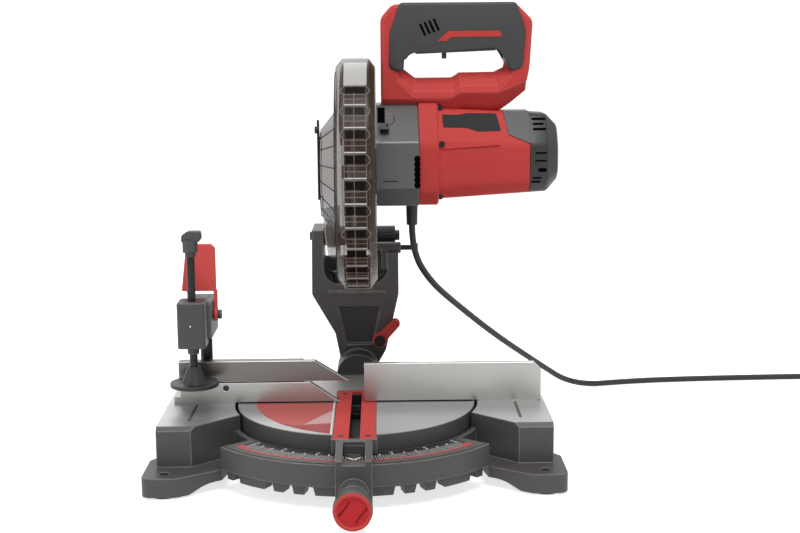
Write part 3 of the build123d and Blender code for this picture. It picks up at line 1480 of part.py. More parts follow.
# Lower guard: rim with bevelled edges, right wall on its hub, left wall and cone
with BuildPart() as lower_guard:
    swept_section(
        [
            (guard_right_x, guard_hub_r - 1),
            (guard_right_x, guard_r - guard_bevel_r),
            (guard_right_x - guard_bevel_x, guard_r),
            (guard_left_x + guard_bevel_x, guard_r),
            (guard_left_x, guard_r - guard_bevel_r),
            (guard_left_x, bulge_root_r),
            (bulge_x, bulge_face_r),
            (bulge_x, bulge_hole_r),
            (bulge_x + guard_wall, bulge_hole_r),
            (bulge_x + guard_wall, bulge_face_r - 1),
            (guard_left_x + guard_wall, bulge_root_r - 1),
            (guard_left_x + guard_wall, guard_r - guard_bevel_r - 1),
            (guard_left_x + guard_bevel_x + 1, guard_r - guard_wall),
            (guard_right_x - guard_bevel_x - 1, guard_r - guard_wall),
            (guard_right_x - guard_wall, guard_r - guard_bevel_r - 1),
            (guard_right_x - guard_wall, guard_hub_r - 1),
        ],
        guard_start,
        guard_span,
    )
    rod_x(arbor_y, arbor_z, guard_hub_r, guard_right_x - guard_wall, guard_right_x,
          bore=guard_boss_r + running)
lower_guard.part.label = "lower_guard"
export_step(lower_guard.part, "parts/lower_guard.step")

# Rod and knob on the guard's left side
with BuildPart() as guard_lift_rod:
    rod_z(lift_rod_x, lift_rod_y, lift_rod_r, lift_rod_bottom_z, lift_rod_top_z)
    rod_x(lift_rod_y, lift_knob_z, lift_knob_r, lift_rod_x - lift_knob_out, lift_rod_x + lift_rod_r)
    for foot_z in (lift_rod_bottom_z + 4, lift_knob_z - 8):
        rod_x(lift_rod_y, foot_z, lift_rod_r, lift_rod_x, bulge_x)
guard_lift_rod.part.label = "guard_lift_rod"
export_step(guard_lift_rod.part, "parts/guard_lift_rod.step")

# Spindle lock button in the gear housing's front
with BuildPart() as spindle_lock:
    rod_y(lock_button_x, lock_button_z, lock_button_r, lock_button_y - lock_button_out,
          lock_button_y + lock_button_len)
spindle_lock.part.label = "spindle_lock"
export_step(spindle_lock.part, "parts/spindle_lock.step")

# Handle: two shells, rubber grip, switch, trigger and its lock-off


def handle_at(across, up):
    """Point of the handle's side view, from parts of its width and height."""
    return handle_left_x + across * handle_w, handle_bottom_z + up * handle_h


handle_outline = [handle_at(*part) for part in handle_frame]
handle_hole = [handle_at(*part) for part in hole_frame]
trigger_outline = [handle_at(*part) for part in trigger_frame]
grip_top_z = handle_top_z + handle_top_skin
grip_outline = [(handle_at(grip_top_frame[0], 1)[0], grip_top_z)]
grip_outline += [handle_at(*part) for part in grip_left_frame + hole_frame[:5] + grip_right_frame]
grip_outline += [(handle_at(grip_top_frame[1], 1)[0], grip_top_z)]
pocket_top_z = handle_hole[2][1]
trigger_pin_x, trigger_pin_z = handle_at(*trigger_pin_frame)
cavity_left_x, cavity_right_x = [handle_at(part, 0)[0] for part in cavity_frame]
finger_left_x, finger_right_x = [handle_at(part, 0)[0] for part in finger_frame]
finger_top_z = handle_at(0, finger_top_frame)[1]
lock_off_x = handle_at(lock_off_frame, 0)[0]
lock_off_low_z, lock_off_top_z = [handle_at(0, part)[1] for part in lock_off_z_frame]


def handle_half(y0, y1, wall_y0, wall_y1):
    """One half of the handle: hollow along the grip, with room for the trigger's tongue, finger and pin."""
    slab_y(handle_outline, y0, y1)
    slab_y(handle_hole, y0, y1, Mode.SUBTRACT)
    block(cavity_left_x, cavity_right_x, wall_y0, wall_y1, pocket_top_z + handle_wall,
          handle_top_z - handle_wall, Mode.SUBTRACT)
    block(finger_left_x - finger_room, finger_right_x + finger_room, wall_y0, wall_y1, pocket_top_z,
          pocket_top_z + handle_wall, Mode.SUBTRACT)
    tongue_y0 = max(y0, handle_y - tongue_half_t - gap)
    tongue_y1 = min(y1, handle_y + tongue_half_t + gap)
    block(trigger_pin_x - tongue_front - tongue_swing, trigger_pin_x + tongue_back + tongue_swing, tongue_y0,
          tongue_y1, trigger_pin_z - tongue_half_h - 2 * tongue_swing, pocket_top_z, Mode.SUBTRACT)
    rod_y(trigger_pin_x, trigger_pin_z, trigger_pin_r + running, wall_y0, wall_y1, mode=Mode.SUBTRACT)


with BuildPart() as handle_front_shell:
    handle_half(handle_front_y, handle_y, handle_front_y + handle_wall, handle_y)
handle_front_shell.part.label = "handle_front_shell"
export_step(handle_front_shell.part, "parts/handle_front_shell.step")

with BuildPart() as handle_rear_shell:
    handle_half(handle_y, handle_back_y, handle_y, handle_back_y - handle_wall)
handle_rear_shell.part.label = "handle_rear_shell"
export_step(handle_rear_shell.part, "parts/handle_rear_shell.step")

with BuildPart() as handle_grip:
    slab_y(grip_outline, handle_front_y - handle_skin, handle_back_y + handle_skin)
    block(handle_left_x, handle_right_x, handle_front_y, handle_back_y, handle_bottom_z, handle_top_z,
          Mode.SUBTRACT)
handle_grip.part.label = "handle_grip"
export_step(handle_grip.part, "parts/handle_grip.step")

with BuildPart() as switch:
    block(finger_left_x - switch_left, finger_right_x + switch_right, handle_y - switch_half_t,
          handle_y + switch_half_t, finger_top_z + switch_room, handle_top_z - handle_wall - gap)
switch.part.label = "switch"
export_step(switch.part, "parts/switch.step")

with BuildPart() as trigger:
    slab_y(trigger_outline, handle_front_y + trigger_side_room, handle_back_y - trigger_side_room)
    block(trigger_pin_x - tongue_front, trigger_pin_x + tongue_back, handle_y - tongue_half_t,
          handle_y + tongue_half_t, trigger_pin_z - tongue_half_h, trigger_pin_z + tongue_half_h)
    rod_y(trigger_pin_x, trigger_pin_z, trigger_pin_r, handle_front_y + handle_wall + gap,
          handle_back_y - handle_wall - gap)
    block(finger_left_x, finger_right_x, handle_y - finger_half_t, handle_y + finger_half_t, trigger_pin_z,
          finger_top_z)
    block(lock_off_x - lock_off_travel - gap, lock_off_x + lock_off_w + gap, handle_y - lock_off_t / 2 - gap,
          handle_y + lock_off_t / 2 + gap, lock_off_low_z, lock_off_top_z + gap, Mode.SUBTRACT)
trigger.part.label = "trigger"
export_step(trigger.part, "parts/trigger.step")

with BuildPart() as lock_off:
    block(lock_off_x, lock_off_x + lock_off_w, handle_y - lock_off_t / 2, handle_y + lock_off_t / 2,
          lock_off_low_z, lock_off_top_z)
lock_off.part.label = "lock_off"
export_step(lock_off.part, "parts/lock_off.step")

# Work clamp: post in the side table's socket, arm, rod with foot and knob, and the cam lever on its pin
with BuildPart() as clamp_post:
    rod_z(-post_x, post_y, post_r, post_bottom_z, post_top_z)
clamp_post.part.label = "clamp_post"
export_step(clamp_post.part, "parts/clamp_post.step")

strip_left_x = clamp_arm_left_x - clamp_lever_gap - clamp_lever_strip
strip_right_x = clamp_arm_right_x + clamp_lever_gap + clamp_lever_strip
with BuildPart() as clamp_arm:
    block(clamp_block_left_x, clamp_block_right_x, clamp_block_front_y, clamp_block_back_y,
          clamp_block_bottom_z, clamp_block_top_z)
    fillet(clamp_arm.edges().filter_by(Axis.Z), clamp_round)
    block(clamp_arm_left_x, clamp_arm_right_x, clamp_block_back_y - clamp_round, clamp_arm_back_y,
          clamp_arm_bottom_z, clamp_arm_top_z)
    rod_z(clamp_rod_x, clamp_rod_y, clamp_collar_r, clamp_collar_bottom_z, clamp_block_bottom_z)
    rod_z(clamp_rod_x, clamp_rod_y, clamp_rod_r + running, clamp_collar_bottom_z, clamp_block_top_z,
          mode=Mode.SUBTRACT)
    rod_z(-post_x, post_y, post_r + press, clamp_arm_bottom_z, clamp_arm_top_z, mode=Mode.SUBTRACT)
    rod_x(clamp_lever_y, clamp_lever_z, clamp_pin_r, strip_left_x - gap, strip_right_x + gap)
    for head_x in (strip_left_x - gap - clamp_pin_head_h, strip_right_x + gap):
        rod_x(clamp_lever_y, clamp_lever_z, clamp_pin_head_r, head_x, head_x + clamp_pin_head_h)
clamp_arm.part.label = "clamp_arm"
export_step(clamp_arm.part, "parts/clamp_arm.step")

with BuildPart() as clamp_lever:
    lever_y0 = clamp_lever_y - clamp_lever_t / 2
    lever_y1 = clamp_lever_y + clamp_lever_t / 2
    slab_y(
        [
            (strip_left_x - clamp_lever_flare, clamp_lever_bottom_z),
            (strip_right_x - clamp_lever_waist, clamp_lever_bottom_z),
            (strip_right_x - clamp_lever_waist, clamp_lever_top_z - clamp_lever_corner),
            (strip_right_x - clamp_lever_waist - clamp_lever_corner, clamp_lever_top_z),
            (strip_left_x + clamp_lever_corner, clamp_lever_top_z),
            (strip_left_x, clamp_lever_top_z - clamp_lever_corner),
        ],
        lever_y0,
        lever_y1,
    )
    for strip_x in (strip_left_x, strip_right_x - clamp_lever_strip):
        block(strip_x, strip_x + clamp_lever_strip, lever_y0, lever_y1, clamp_lever_z, clamp_lever_bottom_z)
        rod_x(clamp_lever_y, clamp_lever_z, clamp_lever_hub_r, strip_x, strip_x + clamp_lever_strip)
    rod_x(clamp_lever_y, clamp_lever_z, clamp_pin_r + running, strip_left_x, strip_right_x,
          mode=Mode.SUBTRACT)
clamp_lever.part.label = "clamp_lever"
export_step(clamp_lever.part, "parts/clamp_lever.step")

with BuildPart() as clamp_rod:
    rod_z(clamp_rod_x, clamp_rod_y, clamp_rod_r, clamp_rod_bottom_z, clamp_knob_bottom_z + clamp_knob_h / 2)
clamp_rod.part.label = "clamp_rod"
export_step(clamp_rod.part, "parts/clamp_rod.step")

with BuildPart() as clamp_foot:
    foot_top = clamp_rod_bottom_z - 1
    rod_z(clamp_rod_x, clamp_rod_y, clamp_foot_r, foot_top - clamp_foot_t, foot_top)
    with Locations((clamp_rod_x, clamp_rod_y, foot_top)):
        Cone(clamp_cone_r, clamp_cone_top_r, clamp_cone_h, align=(Align.CENTER, Align.CENTER, Align.MIN))
    rod_z(clamp_rod_x, clamp_rod_y, clamp_rod_r + press, clamp_rod_bottom_z, foot_top + clamp_cone_h,
          mode=Mode.SUBTRACT)
clamp_foot.part.label = "clamp_foot"
export_step(clamp_foot.part, "parts/clamp_foot.step")

with BuildPart() as clamp_knob:
    knob_top_z = clamp_knob_bottom_z + clamp_knob_h
    rod_z(clamp_rod_x, clamp_rod_y, clamp_knob_r, clamp_knob_bottom_z, knob_top_z)
    with BuildSketch(Plane.XY.offset(clamp_knob_bottom_z)) as grip_face:
        with Locations((clamp_rod_x, clamp_rod_y)):
            with PolarLocations(clamp_knob_r, clamp_knob_grips):
                Circle(clamp_knob_r * 0.14)
    extrude(grip_face.sketch, amount=clamp_knob_h, mode=Mode.SUBTRACT)
    rod_z(clamp_rod_x, clamp_rod_y, clamp_neck_r, clamp_neck_bottom_z, clamp_knob_bottom_z)
    rod_z(clamp_rod_x, clamp_rod_y, clamp_nut_r, clamp_nut_bottom_z, clamp_neck_bottom_z)
    rod_z(clamp_rod_x, clamp_rod_y, clamp_rod_r + press, clamp_nut_bottom_z,
          clamp_knob_bottom_z + clamp_knob_h / 2, mode=Mode.SUBTRACT)
clamp_knob.part.label = "clamp_knob"
export_step(clamp_knob.part, "parts/clamp_knob.step")

# Mains lead: tapered strain relief, hanging lead, put-away coil and plug
with BuildPart() as strain_relief:
    with Locations((relief_x, motor_y, relief_z)):
        Cone(relief_tip_r, relief_root_r, relief_len, align=(Align.CENTER, Align.CENTER, Align.MIN))
strain_relief.part.label = "strain_relief"
export_step(strain_relief.part, "parts/strain_relief.step")

floor_z = cord_r + 0.1
route = [
    Vector(relief_x, motor_y, relief_z),
    Vector(relief_x, motor_y, 217.5),
    Vector(79, 62, 181),
    Vector(113, 108, 142),
    Vector(160, 166, 95),
    Vector(214, 226, 48),
    Vector(272, 277, 10),
    Vector(345, 299, floor_z),
    Vector(420, 306.5, floor_z),
    Vector(488, 309, floor_z),
    Vector(540, coil_entry_y, floor_z),
    Vector(coil_x - coil_lead, coil_entry_y, floor_z),
]
runs = [(after - before).length for before, after in zip(route, route[1:])]
radii = []
for corner in range(1, len(route) - 1):
    half_turn = radians((route[corner] - route[corner - 1]).get_angle(route[corner + 1] - route[corner])) / 2
    radii.append(0.45 * min(runs[corner - 1], runs[corner]) / tan(half_turn))
print("cord arc radii", [round(radius) for radius in radii])

with BuildPart() as cord:
    with BuildLine() as cord_path:
        FilletPolyline(*route, radius=radii)
    with BuildSketch(Plane(origin=route[0], z_dir=route[1] - route[0])) as cord_section:
        Circle(cord_r)
    sweep(cord_section.sketch, path=cord_path.wire())
cord.part.label = "cord"
export_step(cord.part, "parts/cord.step")
cord_length = cord_path.wire().length
cord_ratio = cord.part.volume / (pi * cord_r**2 * cord_length)
print("cord length", round(cord_length), "volume ratio", round(cord_ratio, 4))

# Coil: half turns that spiral in, climb a layer, and spiral out again
ahead = Vector(1, 0, 0)
turn_radii = [coil_outer_r - coil_pitch / 2 * step for step in range(coil_half_turns)]
climb_r = turn_radii[-1] - coil_pitch / 2
coil_radii = turn_radii + [climb_r] + turn_radii[:0:-1]
coil_points = [Vector(coil_x, coil_entry_y, floor_z)]
coil_ways = [ahead]
for step, radius in enumerate(coil_radii):
    height = coil_layer if step == coil_half_turns else 0
    coil_points.append(coil_points[-1] + coil_ways[-1].rotate(Axis.Z, 90) * 2 * radius + Vector(0, 0, height))
    coil_ways.append(coil_ways[-1] * -1)
with BuildPart() as cord_coil:
    with BuildLine() as coil_path:
        Line(route[-1], coil_points[0])
        for step in range(len(coil_radii)):
            tangent_arcs(coil_points[step], coil_ways[step], coil_points[step + 1], coil_ways[step + 1])
        Line(coil_points[-1], coil_points[-1] + coil_ways[-1] * coil_tail)
    with BuildSketch(Plane(origin=route[-1], z_dir=ahead)) as coil_section:
        Circle(cord_r)
    sweep(coil_section.sketch, path=coil_path.wire())
cord_coil.part.label = "cord_coil"
export_step(cord_coil.part, "parts/cord_coil.step")
coil_length = coil_path.wire().length
coil_gap = least_gap(coil_path.wire(), cord_r, 2 * climb_r)
print("coil length", round(coil_length), "least gap", round(coil_gap, 2))

with BuildPart() as plug:
    plug_at = coil_points[-1] + coil_ways[-1] * coil_tail
    plug_plane = Plane(origin=plug_at, x_dir=(0, 1, 0), z_dir=coil_ways[-1])
    body_plane = plug_plane.offset(plug_neck_len)
    with BuildSketch(plug_plane) as neck_start:
        Circle(cord_r + plug_lip)
    with BuildSketch(body_plane) as neck_end:
        Circle(plug_neck_r)
    loft([neck_start.sketch, neck_end.sketch])
    with BuildSketch(body_plane) as plug_face:
        RectangleRounded(2 * plug_r, 2 * plug_half_h, plug_half_h * 0.6)
    extrude(plug_face.sketch, amount=plug_len)
    with BuildSketch(body_plane.offset(plug_len)) as pin_face:
        with GridLocations(plug_pin_spacing, 0, 2, 1):
            Circle(plug_pin_r)
    extrude(pin_face.sketch, amount=plug_pin_len)
plug.part.label = "plug"
export_step(plug.part, "parts/plug.step")
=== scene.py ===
"""Compound miter saw on a plain white floor: finishes and moulded detail for every piece of the shared frame."""
import json
import logging
import math
from collections.abc import Callable, Sequence
from dataclasses import dataclass
from enum import Enum

import bmesh
import bpy
from bpy.types import ID, Curve, Material, Mesh, Node, NodeSocket, NodeTree, Object
from mathutils import Matrix, Vector


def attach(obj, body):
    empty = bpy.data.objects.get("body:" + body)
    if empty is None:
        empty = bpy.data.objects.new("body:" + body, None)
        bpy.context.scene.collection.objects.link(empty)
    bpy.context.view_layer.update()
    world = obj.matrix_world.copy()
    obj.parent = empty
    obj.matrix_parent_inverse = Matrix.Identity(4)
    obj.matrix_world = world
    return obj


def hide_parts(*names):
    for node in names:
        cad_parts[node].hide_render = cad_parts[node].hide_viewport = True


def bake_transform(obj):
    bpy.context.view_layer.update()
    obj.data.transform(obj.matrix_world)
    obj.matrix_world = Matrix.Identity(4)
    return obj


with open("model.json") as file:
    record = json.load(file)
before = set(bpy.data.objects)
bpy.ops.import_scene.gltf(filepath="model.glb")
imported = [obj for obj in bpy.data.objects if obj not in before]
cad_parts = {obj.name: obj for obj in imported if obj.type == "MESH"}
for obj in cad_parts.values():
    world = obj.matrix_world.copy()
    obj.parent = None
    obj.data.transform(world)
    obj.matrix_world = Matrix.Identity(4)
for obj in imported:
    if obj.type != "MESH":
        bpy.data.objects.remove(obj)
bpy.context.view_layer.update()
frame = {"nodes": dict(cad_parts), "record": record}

LOG = logging.getLogger("miter_saw")
MM = 0.001
NODE_BODY = {node: body for body, nodes in frame["record"]["behaviour"]["bodies"].items() for node in nodes}
NOISE = "ShaderNodeTexNoise"
MAP_RANGE = "ShaderNodeMapRange"
VECTOR_MATH = "ShaderNodeVectorMath"
WHITE = (1.0, 1.0, 1.0, 1.0)
# Edge angles in degrees: above the first, shading stays sharp; above the second, an edge is rounded.
SHARP, ROUND_FROM = 38.0, 30.0
# Clean-up of a CAD mesh: joining distance and speck size in mm, and the turn in degrees of faces that merge.
JOIN, SPECK, FLAT_TURN = 0.004, 0.02, 0.4
# Strength of every bump, and swing of the roughness over a texture.
BUMP, ROUGH_SWING = 0.5, 0.05
# How far print starts under its face, in mm.
SINK = 0.1
# Largest part of an edge that a rounded corner takes, and the limit for sharp corners of an inset outline.
MOST_ROUNDED, LEAST_OPEN = 0.45, 0.3

Point = tuple[float, float, float]
Flat = tuple[float, float]
Four = tuple[float, float, float, float]
Outline = tuple[Flat, ...]


class Axis(Enum):
    """Main directions, with the places of their two cross directions and their own."""

    X = (1, 2, 0)
    Y = (0, 2, 1)
    Z = (0, 1, 2)

    def point(self, flat: Flat, along: float) -> Vector:
        """Point from two cross distances and one distance along the axis.

        Args:
            flat: Distances along the two cross directions, in mm.
            along: Distance along the axis, in mm.

        Returns:
            The point in metres.
        """
        spot = [0.0, 0.0, 0.0]
        spot[self.value[0]], spot[self.value[1]], spot[self.value[2]] = flat[0], flat[1], along
        return Vector(spot) * MM


class Grain(Enum):
    """Kinds of surface texture, with the names of their shader groups."""

    FINE = "surface_grain"
    BRUSHED = "brushed_lines"
    TURNED = "turned_rings"


class Body(Enum):
    """Bodies that carry the pieces made here."""

    BASE = "base"
    TURNTABLE = "turntable"
    MITER_KNOB = "miter_knob"
    BEVEL_ARM = "bevel_arm"
    HEAD = "head"
    LOWER_GUARD = "lower_guard"
    SPINDLE_LOCK = "spindle_lock"
    CLAMP = "clamp"
    CLAMP_ROD = "clamp_rod"


# Body and material slot of pieces that share both.
BASE_PRINT = (Body.BASE, "scale_print")
HEAD_RED = (Body.HEAD, "red_plastic")
HEAD_BLACK = (Body.HEAD, "black_plastic")
GUARD = (Body.LOWER_GUARD, "guard_plastic")


class Graph:
    """Adds and links nodes of one tree.

    Attributes:
        tree: The tree.
    """

    def __init__(self, tree: NodeTree) -> None:
        """Keep the tree.

        Args:
            tree: Tree to work on.
        """
        self.tree = tree

    def feed(self, node: Node, given: dict[int | str, object]) -> None:
        """Link or set inputs of a node.

        Args:
            node: The node.
            given: Socket or value of each input, by the input's name or place.
        """
        for key, value in given.items():
            if isinstance(value, NodeSocket):
                self.tree.links.new(value, node.inputs[key])
            else:
                node.inputs[key].default_value = value

    def add(self, kind: str, given: dict[int | str, object] | None = None, **settings: object) -> Node:
        """Add a node.

        Args:
            kind: Node type.
            given: Socket or value of each input, by the input's name or place.
            settings: Properties of the node.

        Returns:
            The node.
        """
        node = self.tree.nodes.new(kind)
        for name, value in settings.items():
            setattr(node, name, value)
        self.feed(node, given or {})
        return node

    def math(self, operation: str, *values: object) -> NodeSocket:
        """Add a math node.

        Args:
            operation: Math operation.
            values: Its sockets or numbers.

        Returns:
            The result's socket.
        """
        return self.add("ShaderNodeMath", dict(enumerate(values)), operation=operation).outputs[0]

    def seen(self) -> NodeSocket:
        """Mask of the rays that see the white surround: direct, let through or mirrored.

        Returns:
            The mask's socket.
        """
        rays = self.add("ShaderNodeLightPath").outputs
        direct = self.math("MAXIMUM", rays["Is Camera Ray"], rays["Is Transmission Ray"])
        return self.math("MAXIMUM", direct, rays["Is Glossy Ray"])


def shader_group(name: str, setting: str, outputs: Sequence[str]) -> tuple:
    """Start a shader node group with a vector and one setting.

    Args:
        name: Group name.
        setting: Name of the setting.
        outputs: Names of the float outputs.

    Returns:
        The graph, the sockets of the vector and the setting, and the node of the outputs.
    """
    tree = bpy.data.node_groups.new(name, "ShaderNodeTree")
    tree.interface.new_socket("Vector", in_out="INPUT", socket_type="NodeSocketVector")
    tree.interface.new_socket(setting, in_out="INPUT", socket_type="NodeSocketFloat")
    for label in outputs:
        tree.interface.new_socket(label, in_out="OUTPUT", socket_type="NodeSocketFloat")
    graph = Graph(tree)
    given = graph.add("NodeGroupInput").outputs
    return graph, given["Vector"], given[setting], graph.add("NodeGroupOutput")


def grain_group() -> NodeTree:
    """Fine grain of a cast or moulded surface, with its slow change of tone.

    Returns:
        The group, with outputs Height and Tone.
    """
    graph, vector, scale, result = shader_group(Grain.FINE.value, "Scale", ("Height", "Tone"))
    fine = graph.add(NOISE, {"Vector": vector, "Scale": scale, "Detail": 3.0, "Roughness": 0.6})
    slow = graph.add(NOISE, {"Vector": vector, "Scale": 14.0, "Detail": 4.0})
    graph.feed(result, {"Height": fine.outputs["Fac"], "Tone": slow.outputs["Fac"]})
    return graph.tree


def lined_group(name: str, course: Callable[[Graph, NodeSocket], NodeSocket],
                slow_scale: float, slow_detail: float, share: float) -> NodeTree:
    """Fine lines, with a slow change of tone.

    Args:
        name: Group name.
        course: Adds the nodes that turn the surface's vector into the vector of the lines.
        slow_scale: Scale of the slow change.
        slow_detail: Detail of the slow change.
        share: Share of the lines in the tone.

    Returns:
        The group, with outputs Height and Tone.
    """
    graph, vector, scale, result = shader_group(name, "Scale", ("Height", "Tone"))
    lines = graph.add(NOISE, {"Vector": course(graph, vector), "Scale": scale, "Detail": 2.0}).outputs["Fac"]
    slow = graph.add(NOISE, {"Vector": vector, "Scale": slow_scale, "Detail": slow_detail}).outputs["Fac"]
    tone = graph.math("MULTIPLY_ADD", lines, share, graph.math("MULTIPLY", slow, 1 - share))
    graph.feed(result, {"Height": lines, "Tone": tone})
    return graph.tree


def brushed_course(graph: Graph, vector: NodeSocket) -> NodeSocket:
    """Stretch a vector along X, for a brushed or extruded surface.

    Args:
        graph: Graph of the group.
        vector: The surface's vector.

    Returns:
        The stretched vector.
    """
    return graph.add("ShaderNodeMapping", {"Scale": (0.012, 1.0, 1.0), "Vector": vector}).outputs["Vector"]


def turned_course(graph: Graph, vector: NodeSocket) -> NodeSocket:
    """Distance from the Z axis of the frame, for a turned surface.

    Args:
        graph: Graph of the group.
        vector: The surface's vector.

    Returns:
        A vector with the distance as its X.
    """
    parts = graph.add("ShaderNodeSeparateXYZ", {0: vector}).outputs
    squares = [graph.math("MULTIPLY", part, part) for part in (parts[0], parts[1])]
    radius = graph.math("SQRT", graph.math("ADD", *squares))
    return graph.add("ShaderNodeCombineXYZ", {0: radius}).outputs[0]


def rubbed_group() -> NodeTree:
    """Patchy mask for rubbed places.

    Returns:
        The group, with output Mask.
    """
    graph, vector, amount, result = shader_group("rubbed_places", "Amount", ("Mask",))
    patch = graph.add(NOISE, {"Vector": vector, "Scale": 75.0, "Detail": 5.0})
    spread = graph.add(MAP_RANGE, {"Value": patch.outputs["Fac"], "From Min": 0.32, "From Max": 0.68})
    graph.feed(result, {"Mask": graph.math("MULTIPLY", spread.outputs[0], amount)})
    return graph.tree


class Groups:
    """Shader groups shared by the finishes, made on first use.

    Attributes:
        makers: Maker of each group.
    """

    makers: dict[str, Callable[[], NodeTree]] = {
        "surface_grain": grain_group,
        "brushed_lines": lambda: lined_group("brushed_lines", brushed_course, 9.0, 2.0, 0.4),
        "turned_rings": lambda: lined_group("turned_rings", turned_course, 11.0, 3.0, 0.45),
        "rubbed_places": rubbed_group,
    }

    @classmethod
    def get(cls, name: str) -> NodeTree:
        """Find or make a group.

        Args:
            name: Group name.

        Returns:
            The group.
        """
        return bpy.data.node_groups.get(name) or cls.makers[name]()


def linear(text: str) -> tuple[float, ...]:
    """Linear colour from a hex colour.

    Args:
        text: Six hex digits.

    Returns:
        Red, green and blue.
    """
    shades = [int(text[start:start + 2], 16) / 255 for start in (0, 2, 4)]
    return tuple(s / 12.92 if s <= 0.04045 else ((s + 0.055) / 1.055) ** 2.4 for s in shades)


@dataclass(frozen=True)
class Texture:
    """Fine relief of a surface.

    Attributes:
        grain: Kind of relief.
        scale: How fine it is.
        depth: Its depth in mm.
        tone: How far the colour changes over the surface.
    """

    grain: Grain
    scale: float
    depth: float
    tone: float


@dataclass(frozen=True)
class Finish:
    """Look of a surface.

    Attributes:
        name: Material name.
        colour: Hex colour.
        roughness: Roughness of the surface.
        metallic: 1 for bare metal.
        texture: Fine relief, or nothing.
        rubbed: Hex colour of rubbed places, or nothing.
        rub_amount: How strongly they show.
        alpha: Cover of the surface.
        specular: Strength of the mirror part.
    """

    name: str
    colour: str
    roughness: float
    metallic: float = 0.0
    texture: Texture | None = None
    rubbed: str = ""
    rub_amount: float = 0.0
    alpha: float = 1.0
    specular: float = 0.5

    def material(self) -> Material:
        """Find or build the material.

        Returns:
            The material.
        """
        name = "finish_" + self.name
        found = bpy.data.materials.get(name)
        if found:
            return found
        material = bpy.data.materials.new(name)
        material.use_nodes = True
        graph = Graph(material.node_tree)
        shader = material.node_tree.nodes["Principled BSDF"]
        colour = linear(self.colour)
        graph.feed(shader, {
            "Base Color": (*colour, 1.0), "Roughness": self.roughness, "Metallic": self.metallic,
            "Alpha": self.alpha, "Specular IOR Level": self.specular,
        })
        if self.texture:
            self._relief(graph, shader, colour, self.texture)
        return material

    def _relief(self, graph: Graph, shader: Node, colour: Sequence[float], texture: Texture) -> None:
        """Add the texture's bump, change of tone and rubbed places.

        Args:
            graph: Graph of the material.
            shader: Principled shader.
            colour: Linear colour.
            texture: The texture.
        """
        vector = graph.add("ShaderNodeTexCoord").outputs["Object"]
        relief = graph.add("ShaderNodeGroup", {"Scale": texture.scale, "Vector": vector},
                           node_tree=Groups.get(texture.grain.value)).outputs
        bump = graph.add("ShaderNodeBump", {"Strength": BUMP, "Distance": texture.depth * MM,
                                            "Height": relief["Height"]})
        changes = (1 - texture.tone, 1 + texture.tone)
        dark, light = ([min(1.0, part * change) for part in colour] for change in changes)
        tint = graph.add("ShaderNodeMix", {"A": (*dark, 1.0), "B": (*light, 1.0), "Factor": relief["Tone"]},
                         data_type="RGBA").outputs["Result"]
        if self.rubbed:
            rub = graph.add("ShaderNodeGroup", {"Amount": self.rub_amount, "Vector": vector},
                            node_tree=Groups.get("rubbed_places"))
            tint = graph.add("ShaderNodeMix", {"A": tint, "B": (*linear(self.rubbed), 1.0),
                                               "Factor": rub.outputs["Mask"]}, data_type="RGBA").outputs["Result"]
        rough = graph.add(MAP_RANGE, {"Value": relief["Tone"], "To Min": self.roughness - ROUGH_SWING,
                                      "To Max": self.roughness + ROUGH_SWING})
        graph.feed(shader, {"Normal": bump.outputs["Normal"], "Base Color": tint, "Roughness": rough.outputs[0]})


PAINT = Finish("dark_paint", "4a4846", 0.5, texture=Texture(Grain.FINE, 1100, 0.08, 0.1))
# Lighter edges of the dark paint: painted highlight, with rubbed patches of real wear.
PAINT_EDGE_WEAR_HIGHLIGHT = Finish("dark_paint_edge", "5c5a58", 0.45, texture=Texture(Grain.FINE, 1100, 0.05, 0.1),
                    rubbed="8a8986", rub_amount=0.5)
HEAD_PAINT = Finish("head_paint", "424141", 0.4, texture=Texture(Grain.FINE, 1500, 0.04, 0.07), specular=0.95)
# Lighter edges of the head's paint: painted highlight, with rubbed patches of real wear.
HEAD_EDGE_WEAR_HIGHLIGHT = Finish("head_paint_edge", "5f5e5d", 0.42, texture=Texture(Grain.FINE, 1500, 0.04, 0.08),
                   rubbed="8b8a88", rub_amount=0.4)
MACHINED = Finish("machined_top", "b9b9b8", 0.46, 0.8, Texture(Grain.BRUSHED, 1800, 0.02, 0.12))
TURNED = Finish("turned_top", "b2b2b1", 0.46, 0.8, Texture(Grain.TURNED, 1700, 0.02, 0.12))
FENCE = Finish("fence_bright", "a9a8a6", 0.32, 1.0, Texture(Grain.BRUSHED, 1500, 0.02, 0.1))
# Darker copy of the bright fence for the sliding fence: a painted dark reflection.
FENCE_SLIDE_REFLECTION = Finish("fence_slide", "706c6a", 0.34, 1.0, Texture(Grain.BRUSHED, 1500, 0.02, 0.06))
# Lighter fence edges: painted highlight.
FENCE_EDGE_HIGHLIGHT = Finish("fence_edge", "c2c1bf", 0.3, 1.0)
BRIGHT = Finish("bright_steel", "c4c3c2", 0.28, 1.0, Texture(Grain.FINE, 900, 0.01, 0.08))
BLACK_STEEL = Finish("black_steel", "232323", 0.36, 0.6, Texture(Grain.FINE, 1400, 0.02, 0.15))
BLADE = Finish("blade_steel", "b9b8b6", 0.32, 1.0)
CORE = Finish("core_steel", "6b4a3a", 0.5, 0.7)
RED = Finish("red_plastic", "c94845", 0.5, texture=Texture(Grain.FINE, 1600, 0.012, 0.05), specular=0.07)
# Lighter red edges: painted highlight.
RED_EDGE_HIGHLIGHT = Finish("red_plastic_edge", "d0544f", 0.45, specular=0.12)
